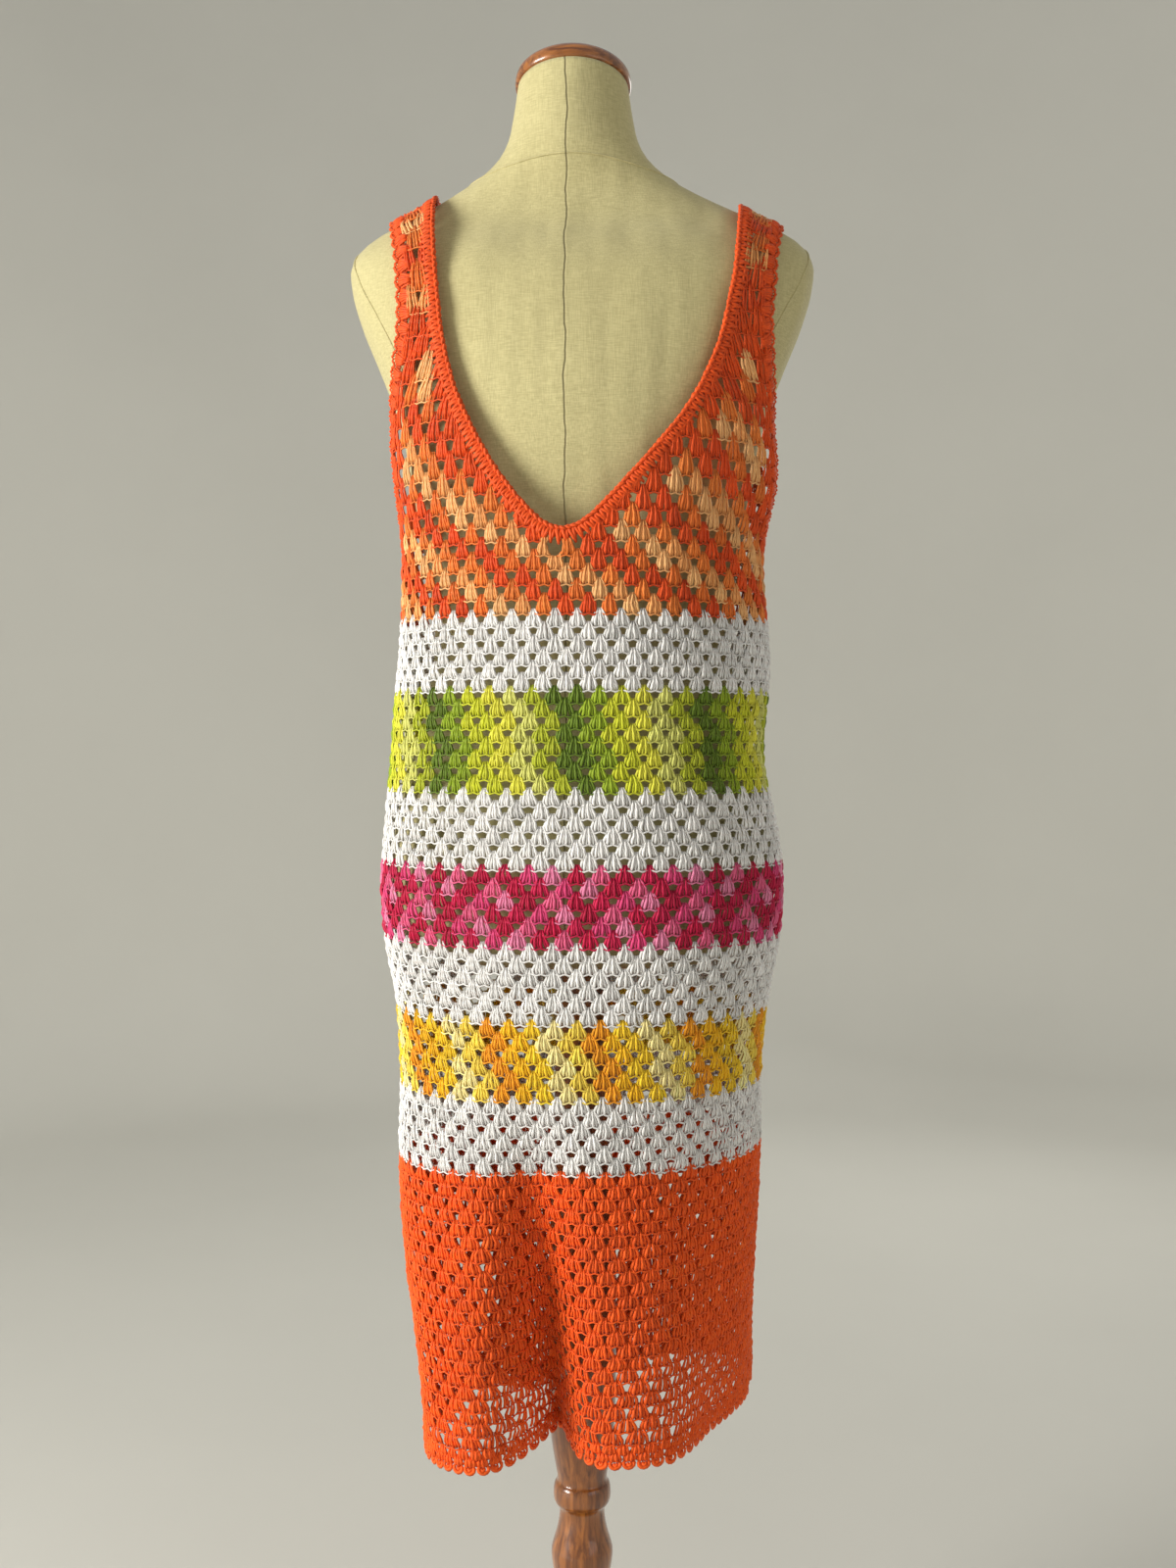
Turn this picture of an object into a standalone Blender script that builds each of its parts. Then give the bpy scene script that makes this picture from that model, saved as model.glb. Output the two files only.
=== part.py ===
"""Crochet dress with a deep V back, on an armless dress form with a turned wooden stand.

Metres, +Z up. The origin is on the floor under the middle of the column. The front of the
dress faces -Y and its back faces +Y. The dress has a front and a back panel, joined at the
sides and on the shoulders, with edgings round the neck, the armholes and the hem.
"""
import math
from collections import namedtuple

import bmesh
import bpy
import numpy as np

MM = 0.001

# Driving sizes of the dress
WALL = 3.0 * MM
SEAM_GAP = 0.3 * MM
SHOULDER_SEAM_GAP = 0.8 * MM
HEM_SEAM_GAP = 0.7 * MM
HEM_HEIGHT = 345 * MM
HEM_EDGING_DEPTH = 18 * MM
HEM_EDGING_THICKNESS = 3.6 * MM
HEM_SHELL_DEPTH = 4.5 * MM
NECK_EDGING_WIDTH = 8 * MM
NECK_EDGING_THICKNESS = 5 * MM
NECK_EDGING_CROWN = 0.5
ARM_EDGING_WIDTH = 11 * MM
ARM_EDGING_THICKNESS = 4 * MM
ARM_SHELL_DEPTH = 2.5 * MM
ARM_SHELL_PITCH = 14 * MM
ARMHOLE_BOTTOM = 1070 * MM
STRAP_START = 1265 * MM
STRAP_TOP = 1378 * MM
SHOULDER_CLEARANCE = 1.2 * MM
SHOULDER_FOOT = 1305 * MM
V_GAP_DIAMETER = 14 * MM
V_GAP_SIDEWAYS = 17 * MM
V_GAP_HEIGHT = 1052 * MM
V_GAP_BACK = 115 * MM
V_GAP_SIDES = 16
V_GAP_CUT_LENGTH = 60 * MM

# Driving size of the stand
CAP_TILT = math.radians(12)
FIT_GAP = 0.3 * MM

# Level rings of the dress form in millimetres, from the underside to the top of the neck:
# height, half width, how far the middle lies towards +X and behind the column, depth of the
# back and of the front from that middle, squareness (2 is an ellipse), rise from front to back
FormRing = namedtuple("FormRing", "height half_width aside middle back front squareness rise")
FORM_RINGS = [FormRing(*row) for row in (
    (722, 110, 0, 0, 74, 70, 2.0, 0),
    (727, 131, 0, 0, 92, 85, 2.1, 0),
    (742, 148, 0, 0, 106, 95, 2.2, 0),
    (770, 157, 0, 0, 113, 101, 2.25, 0),
    (800, 158, 0, 0, 114, 102, 2.25, 0),
    (840, 154, 0, 0, 109, 101, 2.25, 0),
    (890, 141, 0, 0, 95, 97, 2.2, 0),
    (940, 129, 0, 0, 82, 91, 2.1, 0),
    (985, 123, 0, 0, 75, 87, 2.1, 0),
    (1030, 127, 0, 0, 80, 92, 2.1, 0),
    (1080, 136, 0, 0, 93, 106, 2.15, 0),
    (1130, 144, 0, 0, 104, 123, 2.2, 0),
    (1170, 153, 0, 0, 110, 131, 2.25, 0),
    (1210, 168, 0, 2, 109, 121, 2.35, 0),
    (1245, 182, 0, 5, 105, 105, 2.4, 0),
    (1275, 190, 0, 8, 98, 87, 2.4, 0),
    (1295, 190, 0, 11, 85, 73, 2.3, 0),
    (1309, 180, 0, 13, 73, 62, 2.2, 0),
    (1320, 163, 1, 15, 65, 54, 2.1, 0),
    (1330, 140, 2, 18, 60, 48, 2.0, 0),
    (1340, 117, 4, 22, 54, 45, 2.0, 0),
    (1351, 94, 6, 26, 51, 45, 2.0, 0),
    (1362, 75, 6, 30, 50, 46, 2.0, 0),
    (1373, 62, 6, 33, 50, 48, 2.0, 0.03),
    (1386, 54, 6, 35, 49, 48, 2.0, 0.08),
    (1406, 49, 6, 36, 47, 47, 2.0, 0.14),
    (1432, 45, 6, 36, 45.5, 45.5, 2.0, math.tan(CAP_TILT)),
)]

# Level rings of the cloth in millimetres, through the middle of its wall: height, half width,
# how far the middle lies behind the column, depth of the back and of the front, squareness,
# and how far the ring leans out of square (its +X side hangs further back than its -X side)
ClothRing = namedtuple("ClothRing", "height half_width middle back front squareness skew")
CLOTH_RINGS = [ClothRing(*row) for row in (
    (345, 141, 0, 114, 104, 2.1, 0.42),
    (400, 142, 0, 115, 105, 2.15, 0.38),
    (450, 144, 0, 115, 106, 2.2, 0.32),
    (520, 147, 0, 116, 107, 2.25, 0.23),
    (580, 148, 0, 117, 107, 2.3, 0.14),
    (640, 148, 0, 118, 108, 2.3, 0.06),
    (700, 154, 0, 120, 109, 2.3, 0),
    (735, 161, 0, 121, 110, 2.3, 0),
    (780, 165, 0, 122, 111, 2.3, 0),
    (850, 160, 0, 120, 111, 2.25, 0),
    (900, 155, 0, 118, 112, 2.2, 0),
    (950, 152, 0, 116, 114, 2.2, 0),
    (1000, 149, 0, 115, 118, 2.2, 0),
    (1035, 148, 0, 115, 123, 2.2, 0),
    (1070, 149, 0, 115, 128, 2.2, 0),
    (1100, 154, 0, 116, 132, 2.3, 0),
    (1140, 159, 0, 117, 138, 2.4, 0),
    (1170, 162, 1, 118, 140, 2.4, 0),
    (1210, 173, 2, 117, 131, 2.4, 0),
    (1245, 187, 5, 113, 115, 2.4, 0),
    (1265, 194, 7, 108, 102, 2.4, 0),
)]

# Where the cloth hangs off centre, in millimetres: height, sideways shift of the neckline and
# of the armhole edges towards +X
Shift = namedtuple("Shift", "height neck arm")
SHIFTS = [Shift(*row) for row in (
    (960, 2, 0), (1058, 11, 0), (1075, 11, -1), (1110, 9, -2), (1160, 2, -4), (1210, -3, -6),
    (1265, -6, -7), (1378, -7, -5),
)]

# Where one side of the tube stands out or is drawn in, in millimetres: side, height, its
# spread in height, its reach from the side seam, how far it stands out
Flare = namedtuple("Flare", "side height spread reach out")
FLARES = [Flare(*row) for row in (
    (-1, 1112, 34, 62, 8),
    (-1, 985, 45, 70, 4),
    (-1, 885, 42, 90, -7),
    (1, 905, 60, 70, 2),
    (1, 345, 140, 79, -20),
)]

# Finished edges of the panels in millimetres. The distance is measured on the cloth from the
# centre line. The height is the height above the floor up to the strap start, and above that
# it grows with the way over the shoulder
EdgePoint = namedtuple("EdgePoint", "height distance")
BACK_NECK = [EdgePoint(*row) for row in (
    (1067, 0), (1069, 9), (1076, 20), (1086, 30), (1110, 51), (1134, 69), (1150, 80),
    (1181, 97), (1210, 107), (1257, 115), (1378, 125.6),
)]
FRONT_NECK = [EdgePoint(*row) for row in (
    (1128, 0), (1130, 12), (1136, 25), (1150, 44), (1172, 66), (1200, 86), (1232, 102),
    (1257, 110), (1300, 118), (1378, 125.3),
)]
BACK_ARMHOLE = [EdgePoint(*row) for row in (
    (1072, 206), (1077, 198), (1087, 192), (1104, 189), (1140, 188), (1170, 182),
    (1200, 167.5), (1236, 155), (1270, 154.5), (1320, 161.5), (1378, 169.4),
)]
FRONT_ARMHOLE = [EdgePoint(*row) for row in (
    (1072, 215), (1077, 206), (1087, 198), (1104, 192), (1140, 184), (1170, 177),
    (1200, 165), (1236, 155), (1270, 154), (1320, 161), (1378, 168.2),
)]

# Folds that grow from their start height down to the hem, in millimetres: the panel (1 is the
# back, -1 the front), distance from its centre line, how far that drifts by the hem, half
# width, depth at the hem (negative stands out) and start height
Fold = namedtuple("Fold", "panel distance drift half_width depth start")
FOLDS = [Fold(*row) for row in (
    (1, 38, -12, 26, 86, 640),
    (1, -34, 0, 50, -12, 600),
    (1, -67, 0, 30, -20, 600),
    (-1, 62, -8, 25, 42, 620),
    (-1, -48, 6, 24, 36, 650),
    (-1, 4, 0, 24, -6, 600),
    (-1, 150, 0, 34, 16, 700),
    (-1, -140, 0, 40, -14, 620),
)]
FOLD_GROWTH = 1.3
MERGE_DISTANCE = 0.01 * MM

# Turned outlines in millimetres from the top down: height, radius
Turned = namedtuple("Turned", "height radius")
COLUMN = [Turned(*row) for row in (
    (721.7, 0), (721.7, 20), (640, 22), (540, 25.5), (440, 28.5), (380, 28.8), (338, 27.8),
    (318, 25.6), (300, 22.6), (287, 20), (284, 23.2), (276, 24.2), (269, 23.2), (265, 19.5),
    (259, 18.5), (246, 20.6), (235, 24.2), (228, 26), (216, 24.8), (204, 22.2), (150, 20.4),
    (100, 25), (68, 33), (46, 37), (33, 46), (30.3, 46), (30.3, 0),
)]
NECK_CAP = [Turned(*row) for row in (
    (26, 0), (25, 16), (21.5, 31), (16, 41), (11.5, 46), (7.5, 47.3), (3, 47.3), (0, 46), (0, 0),
)]
BASE_PLATE = [Turned(*row) for row in (
    (30, 0), (30, 52), (28.5, 60), (24, 120), (21, 168), (17, 176), (8, 180), (2, 180),
    (0, 178), (0, 0),
)]

# Mesh fineness
BACK_COLUMNS = 40
FRONT_COLUMNS = 32
SKIRT_ROWS = 13
BACK_WING_HEIGHTS = (1062, 1067, 1075, 1087, 1104, 1125, 1150, 1178, 1208, 1239, 1270)
FRONT_WING_HEIGHTS = (1063, 1070, 1082, 1100, 1123, 1131, 1147, 1172, 1205, 1238, 1270)
SHOULDER_ROWS = 5
FORM_SIDES = 36
COLUMN_STEPS = 20
CAP_STEPS = 24
BASE_STEPS = 32
OUTLINE_SAMPLES = 120
EDGE_SAMPLES = 80


def smooth_read(places, values, place):
    """A smooth curve through a table's values: cubic pieces with averaged slopes."""
    places = np.asarray(places, float)
    values = np.asarray(values, float)
    slopes = np.gradient(values, places)
    low = np.clip(np.searchsorted(places, place) - 1, 0, len(places) - 2)
    span = places[low + 1] - places[low]
    t = np.clip((place - places[low]) / span, 0, 1)
    keep = (1 + 2 * t) * (1 - t) ** 2 * values[low] + t * t * (3 - 2 * t) * values[low + 1]
    turn = t * (1 - t) ** 2 * slopes[low] - t * t * (1 - t) * slopes[low + 1]
    return keep + turn * span


def read_table(table, column, height):
    """One column of a table of heights in millimetres, read smoothly at a height in metres."""
    levels = [row.height * MM for row in table]
    return float(smooth_read(levels, [getattr(row, column) for row in table], height))


def fold_depth(panel, across, height, side):
    """How far folds and flares push the cloth inwards there: one bell shape for each."""
    push = np.zeros_like(across)
    for flare in FLARES:
        level = math.exp(-((height / MM - flare.height) / flare.spread) ** 2)
        reach = np.exp(-((side - np.abs(across)) / (flare.reach * MM)) ** 2)
        push -= np.where(across * flare.side > 0, flare.out * MM * level * reach, 0)
    for fold in FOLDS:
        start = fold.start * MM
        if fold.panel != panel or height > start:
            continue
        grown = (start - height) / (start - HEM_HEIGHT)
        place = (fold.distance + fold.drift * grown) * MM
        bell = np.exp(-((across - place) / (fold.half_width * MM)) ** 2)
        push += fold.depth * MM * grown ** FOLD_GROWTH * bell
    return push


def half_outline(panel, height):
    """The level outline of one panel from its centre line to the side: x, y and girth."""
    half_width = read_table(CLOTH_RINGS, "half_width", height) * MM
    middle = read_table(CLOTH_RINGS, "middle", height) * MM
    depth = read_table(CLOTH_RINGS, "back" if panel > 0 else "front", height) * MM
    squareness = read_table(CLOTH_RINGS, "squareness", height)
    angle = np.linspace(math.pi / 2, 0, OUTLINE_SAMPLES)
    x = half_width * np.cos(angle).clip(0, 1) ** (2 / squareness)
    y = panel * depth * np.sin(angle).clip(0, 1) ** (2 / squareness) + middle
    x[0] = 0
    girth = np.concatenate(([0], np.cumsum(np.hypot(np.diff(x), np.diff(y)))))
    return x, y, girth


def side_distance(panel, height):
    """Distance on the cloth from the centre line to the side seam at a height."""
    return half_outline(panel, min(height, STRAP_START))[2][-1]


def shoulder_ridge(x):
    """Where the middle of the strap's wall crosses the shoulder, just clear of it: y and z."""
    rings = [ring for ring in FORM_RINGS if ring.height * MM >= SHOULDER_FOOT]
    y, z = np.zeros_like(x), np.zeros_like(x)
    for side in (1, -1):
        widths = [-(ring.half_width + side * ring.aside) * MM for ring in rings]
        here = x * side >= 0
        y[here] = np.interp(-side * x[here], widths, [ring.middle * MM for ring in rings])
        z[here] = np.interp(-side * x[here], widths, [ring.height * MM for ring in rings])
    return y, z + SHOULDER_CLEARANCE + NECK_EDGING_THICKNESS / 2


def on_cloth(panel, across, height):
    """Points on the middle of the cloth's wall, at distances from the centre line."""
    across = np.atleast_1d(np.asarray(across, float))
    level = min(height, STRAP_START)
    x, y, girth = half_outline(panel, level)
    reach = np.abs(across)
    push = fold_depth(panel, across, level, girth[-1])
    px = np.interp(reach, girth, x) + push * panel * np.interp(reach, girth, np.gradient(y, girth))
    py = np.interp(reach, girth, y) - push * panel * np.interp(reach, girth, np.gradient(x, girth))
    px *= np.where(across < 0, -1, 1)
    py += px * read_table(CLOTH_RINGS, "skew", level)
    pz = np.full_like(px, level)
    if height > level:
        turn = (height - level) / (STRAP_TOP - level) * math.pi / 2
        ridge_y, ridge_z = shoulder_ridge(px)
        py = ridge_y + (py - ridge_y) * math.cos(turn)
        pz = level + (ridge_z - level) * math.sin(turn)
    return np.column_stack((px, py, pz))


def edge_line(points, middle, inset):
    """A finished edge, round at its lowest point and moved by inset: heights and distances."""
    first = points[1]
    points = [EdgePoint(first.height, 2 * middle / MM - first.distance), *points]
    height = np.array([point.height for point in points]) * MM
    distance = np.array([point.distance for point in points]) * MM
    way = np.concatenate(([0], np.cumsum(np.hypot(np.diff(height), np.diff(distance)))))
    steps = np.linspace(way[1], way[-1], EDGE_SAMPLES)
    height = smooth_read(way, height, steps)
    distance = smooth_read(way, distance, steps)
    rise = np.gradient(height)
    rise[0] = 0
    run = np.gradient(distance)
    length = np.hypot(rise, run)
    return height - run / length * inset, distance + rise / length * inset


def neck_line(panel, inset):
    """The neck's edge on one side of the centre line, from the bottom of the V up."""
    return edge_line(BACK_NECK if panel > 0 else FRONT_NECK, 0, inset)


def armhole_line(panel, inset):
    """The armhole's edge from the side seam up; the panel lies on its other side."""
    side = side_distance(panel, ARMHOLE_BOTTOM)
    table = BACK_ARMHOLE if panel > 0 else FRONT_ARMHOLE
    return edge_line([EdgePoint(ARMHOLE_BOTTOM / MM, side / MM), *table], side, -inset)


def make_mesh_object(name, vertices, faces, material, collection):
    """A mesh object from vertices and faces, merged where it meets, with faces turned out."""
    mesh = bpy.data.meshes.new(name)
    mesh.from_pydata([tuple(map(float, vertex)) for vertex in vertices], [], faces)
    shape = bmesh.new()
    shape.from_mesh(mesh)
    bmesh.ops.remove_doubles(shape, verts=shape.verts, dist=MERGE_DISTANCE)
    bmesh.ops.recalc_face_normals(shape, faces=shape.faces)
    shape.to_mesh(mesh)
    shape.free()
    mesh.shade_smooth()
    mesh.materials.append(material)
    thing = bpy.data.objects.new(name, mesh)
    collection.objects.link(thing)
    return thing


def make_material(name, colour, roughness):
    """A Principled material with its colour in linear values."""
    material = bpy.data.materials.new(name)
    material.use_nodes = True
    shader = material.node_tree.nodes["Principled BSDF"]
    shader.inputs["Base Color"].default_value = (*colour, 1)
    shader.inputs["Roughness"].default_value = roughness
    shader.inputs["Metallic"].default_value = 0
    return material


def wing_heights(panel):
    """Heights of a wing's rows, from just over the fork to the top of the shoulder."""
    heights = [height * MM for height in (BACK_WING_HEIGHTS if panel > 0 else FRONT_WING_HEIGHTS)]
    bottom = neck_line(panel, NECK_EDGING_WIDTH + SEAM_GAP)[0][0]
    if bottom > heights[0]:
        heights = sorted([*heights, bottom])
    return [*heights, *np.linspace(STRAP_START, STRAP_TOP, SHOULDER_ROWS + 1)[1:]]


def panel_surface(panel, columns):
    """Vertices and faces of one panel: its half of the tube, then a wing up to each strap."""
    bottom = HEM_HEIGHT + HEM_EDGING_DEPTH + HEM_SEAM_GAP
    neck_heights, neck_distances = neck_line(panel, NECK_EDGING_WIDTH + SEAM_GAP)
    arm_heights, arm_distances = armhole_line(panel, ARM_EDGING_WIDTH + SEAM_GAP)
    fork = arm_heights[0]
    vertices = []
    faces = []

    def add_patch(rows):
        """Add rows of points joined by quads, or by fives where the next row has half."""
        starts = [len(vertices) + sum(len(row) for row in rows[:k]) for k in range(len(rows))]
        for row in rows:
            vertices.extend(row)
        for low, high, start, top in zip(rows, rows[1:], starts, starts[1:]):
            step = (len(low) - 1) // (len(high) - 1)
            for k in range(len(high) - 1):
                along = [start + step * k + i for i in range(step + 1)]
                faces.append((*along, top + k + 1, top + k))

    skirt = []
    share = np.linspace(-1, 1, columns + 1)
    for height in np.linspace(bottom, fork, SKIRT_ROWS + 1):
        reach = side_distance(panel, height) - SEAM_GAP / 2
        shift = read_table(SHIFTS, "neck", height) * MM * (1 - np.abs(share))
        skirt.append(on_cloth(panel, share * reach + shift, height))
    add_patch(skirt)

    wing_share = np.linspace(0, 1, columns // 4 + 1)
    for side in (-1, 1):
        half = skirt[-1][: columns // 2 + 1] if side < 0 else skirt[-1][columns // 2:][::-1]
        wing = [half]
        for height in wing_heights(panel):
            height = float(height)
            inner = np.interp(height, neck_heights, neck_distances, left=0)
            outer = np.interp(height, arm_heights, arm_distances)
            outer = side * outer + read_table(SHIFTS, "arm", height) * MM
            inner = side * inner + read_table(SHIFTS, "neck", height) * MM
            across = outer + (inner - outer) * wing_share
            trimmed = min(height, STRAP_TOP - SHOULDER_SEAM_GAP / 2)
            wing.append(on_cloth(panel, across, trimmed))
        add_patch(wing)
    return vertices, faces


def edge_rows(panel, side, line, width, shift):
    """Where the panel's rows meet its edging: points on the finished edge and on the seam."""
    edge_heights, edge_distances = line(panel, 0)
    seam_heights, seam_distances = line(panel, width)
    panel_heights = line(panel, width + SEAM_GAP)[0]
    order = np.arange(len(edge_heights))
    edge = []
    seam = []
    rows = [height for height in wing_heights(panel) if height > panel_heights[0] + MM]
    for height in [panel_heights[0], *rows]:
        place = np.interp(height, panel_heights, order)
        for points, heights, distances in (
            (edge, edge_heights, edge_distances), (seam, seam_heights, seam_distances),
        ):
            across = side * np.interp(place, order, distances)
            across += read_table(SHIFTS, shift, height) * MM
            points.extend(on_cloth(panel, across, float(np.interp(place, order, heights))))
    return np.array(edge), np.array(seam)


def edging_ring(edge, seam, pieces, shell_depth, thickness, crown):
    """Vertices and faces of a closed band between its finished edge and its seam.

    Each stretch between two rows is split into pieces. Every second section is drawn in from
    the edge by the shell depth. A crown makes the band's two faces round.
    """
    stretches = len(edge)
    share = [
        (i, (i + 1) % stretches, k / pieces[i]) for i in range(stretches) for k in range(pieces[i])
    ]
    outer = np.array([edge[i] + (edge[j] - edge[i]) * t for i, j, t in share])
    inner = np.array([seam[i] + (seam[j] - seam[i]) * t for i, j, t in share])
    across = outer - inner
    across /= np.linalg.norm(across, axis=1)[:, None]
    along = np.roll(outer + inner, -1, axis=0) - np.roll(outer + inner, 1, axis=0)
    normal = np.cross(along, across)
    normal /= np.linalg.norm(normal, axis=1)[:, None]
    outer[1::2] -= across[1::2] * shell_depth
    half = normal * thickness / 2
    if crown:
        middle = (outer + inner) / 2
        corners = [outer + half * crown, middle + half, inner + half * crown,
                   inner - half * crown, middle - half, outer - half * crown]
    else:
        corners = [outer + half, inner + half, inner - half, outer - half]
    count = len(corners)
    sections = len(outer)
    vertices = np.stack(corners, axis=1).reshape(-1, 3)
    faces = [
        (i * count + k, (i + 1) % sections * count + k,
         (i + 1) % sections * count + (k + 1) % count, i * count + (k + 1) % count)
        for i in range(sections)
        for k in range(count)
    ]
    return vertices, faces


def neck_loop():
    """The neckline's edge and seam: up one side of the back, over the front, and down again."""
    loops = []
    for part in (0, 1):
        back, front, front_right, back_right = (
            edge_rows(panel, side, neck_line, NECK_EDGING_WIDTH, "neck")[part]
            for panel, side in ((1, 1), (-1, 1), (-1, -1), (1, -1))
        )
        loops.append(np.vstack((back, front[::-1][1:], front_right[1:], back_right[::-1][1:-1])))
    return loops


def armhole_loop(side):
    """One armhole's edge and seam: up the back from the side seam and down the front."""
    return [
        np.vstack((back, front[::-1][1:-1]))
        for back, front in zip(edge_rows(1, side, armhole_line, ARM_EDGING_WIDTH, "arm"),
                               edge_rows(-1, side, armhole_line, ARM_EDGING_WIDTH, "arm"))
    ]


def hem_loop(height):
    """A closed line round the cloth through the panels' columns, from one side seam."""
    back = on_cloth(1, np.linspace(1, -1, BACK_COLUMNS + 1) * side_distance(1, height), height)
    front = on_cloth(-1, np.linspace(-1, 1, FRONT_COLUMNS + 1) * side_distance(-1, height), height)
    return np.vstack((back, front[1:-1]))


def even_pieces(line, pitch):
    """Two pieces for each whole pitch that fits between one row of a closed line and the next."""
    lengths = np.linalg.norm(np.roll(line, -1, axis=0) - line, axis=1)
    return [2 * max(1, round(length / pitch)) for length in lengths]


def add_solidify(thing, thickness):
    """Give an open surface its wall, half of it on each side."""
    wall = thing.modifiers.new("Wall", "SOLIDIFY")
    wall.thickness = thickness
    wall.offset = 0
    wall.use_even_offset = False


def make_panel(name, panel, columns, material, collection):
    """One dress panel as a thin wall."""
    vertices, faces = panel_surface(panel, columns)
    thing = make_mesh_object(name, vertices, faces, material, collection)
    add_solidify(thing, WALL)
    return thing


def cut_v_gap(panel, cutters):
    """Cut the one wide gap just under the bottom of the V through the back panel."""
    bpy.ops.mesh.primitive_cylinder_add(
        vertices=V_GAP_SIDES, radius=V_GAP_DIAMETER / 2, depth=V_GAP_CUT_LENGTH,
        location=(V_GAP_SIDEWAYS, V_GAP_BACK, V_GAP_HEIGHT),
        rotation=(math.pi / 2, 0, 0),
    )
    cutter = bpy.context.object
    cutter.name = "v_gap_cutter"
    for owner in list(cutter.users_collection):
        owner.objects.unlink(cutter)
    cutters.objects.link(cutter)
    cutter.hide_render = True
    cutter.display_type = "WIRE"
    cut = panel.modifiers.new("V gap", "BOOLEAN")
    cut.operation = "DIFFERENCE"
    cut.object = cutter


def make_form(material, collection):
    """The armless torso and neck: a loft through the form's rings, closed at both ends."""
    angle = np.linspace(0, 2 * math.pi, FORM_SIDES, endpoint=False)
    cosine, sine = np.cos(angle), np.sin(angle)
    vertices = []
    for ring in FORM_RINGS:
        power = 2 / ring.squareness
        depth = np.where(sine > 0, ring.back, ring.front)
        x = ring.half_width * np.sign(cosine) * np.abs(cosine) ** power
        y = depth * np.sign(sine) * np.abs(sine) ** power
        z = ring.height + ring.rise * y
        vertices.extend(np.column_stack((ring.aside + x, ring.middle + y, z)) * MM)
    faces = [
        (r + k, r + (k + 1) % FORM_SIDES, r + FORM_SIDES + (k + 1) % FORM_SIDES, r + FORM_SIDES + k)
        for r in range(0, (len(FORM_RINGS) - 1) * FORM_SIDES, FORM_SIDES)
        for k in range(FORM_SIDES)
    ]
    top = (len(FORM_RINGS) - 1) * FORM_SIDES
    faces.append(tuple(range(FORM_SIDES))[::-1])
    faces.append(tuple(range(top, top + FORM_SIDES)))
    return make_mesh_object("form_body", vertices, faces, material, collection)


def make_turned(name, outline, steps, material, collection):
    """A turned piece: its outline from the top down, spun round the Z axis."""
    mesh = bpy.data.meshes.new(name)
    points = [(point.radius * MM, 0, point.height * MM) for point in outline]
    mesh.from_pydata(points, [(k, k + 1) for k in range(len(points) - 1)], [])
    mesh.materials.append(material)
    thing = bpy.data.objects.new(name, mesh)
    collection.objects.link(thing)
    screw = thing.modifiers.new("Turning", "SCREW")
    screw.axis = "Z"
    screw.steps = steps
    screw.render_steps = steps
    screw.use_merge_vertices = True
    screw.merge_threshold = MERGE_DISTANCE
    screw.use_smooth_shade = True
    return thing


def build():
    """Model the dress and its form."""
    for thing in list(bpy.data.objects):
        bpy.data.objects.remove(thing, do_unlink=True)
    dress = bpy.data.collections.new("crochet_dress_on_form")
    cutters = bpy.data.collections.new("cutters")
    bpy.context.scene.collection.children.link(dress)
    bpy.context.scene.collection.children.link(cutters)

    orange = make_material("orange cotton crochet", (0.72, 0.09, 0.016), 0.85)
    deep_orange = make_material("deep orange cotton edging", (0.62, 0.06, 0.01), 0.85)
    linen = make_material("khaki linen", (0.60, 0.55, 0.30), 0.9)
    wood = make_material("varnished brown wood", (0.16, 0.065, 0.022), 0.3)

    back = make_panel("back_panel", 1, BACK_COLUMNS, orange, dress)
    cut_v_gap(back, cutters)
    make_panel("front_panel", -1, FRONT_COLUMNS, orange, dress)

    edge, seam = neck_loop()
    ring = edging_ring(edge, seam, [1] * len(edge), 0, NECK_EDGING_THICKNESS,
                       NECK_EDGING_CROWN)
    make_mesh_object("neck_edging", *ring, deep_orange, dress)
    for name, side in (("armhole_edging_left", 1), ("armhole_edging_right", -1)):
        edge, seam = armhole_loop(side)
        ring = edging_ring(edge, seam, even_pieces(edge, ARM_SHELL_PITCH), ARM_SHELL_DEPTH,
                           ARM_EDGING_THICKNESS, 0)
        make_mesh_object(name, *ring, deep_orange, dress)
    edge, seam = hem_loop(HEM_HEIGHT), hem_loop(HEM_HEIGHT + HEM_EDGING_DEPTH)
    ring = edging_ring(edge, seam, [2] * len(edge), HEM_SHELL_DEPTH, HEM_EDGING_THICKNESS, 0)
    make_mesh_object("hem_edging", *ring, deep_orange, dress)

    make_form(linen, dress)
    make_turned("column", COLUMN, COLUMN_STEPS, wood, dress)
    make_turned("base_plate", BASE_PLATE, BASE_STEPS, wood, dress)
    cap = make_turned("neck_cap", NECK_CAP, CAP_STEPS, wood, dress)
    neck = FORM_RINGS[-1]
    cap.location = (neck.aside * MM, neck.middle * MM - FIT_GAP * math.sin(CAP_TILT),
                    neck.height * MM + FIT_GAP * math.cos(CAP_TILT))
    cap.rotation_euler = (CAP_TILT, 0, 0)


build()
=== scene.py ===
import math

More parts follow.
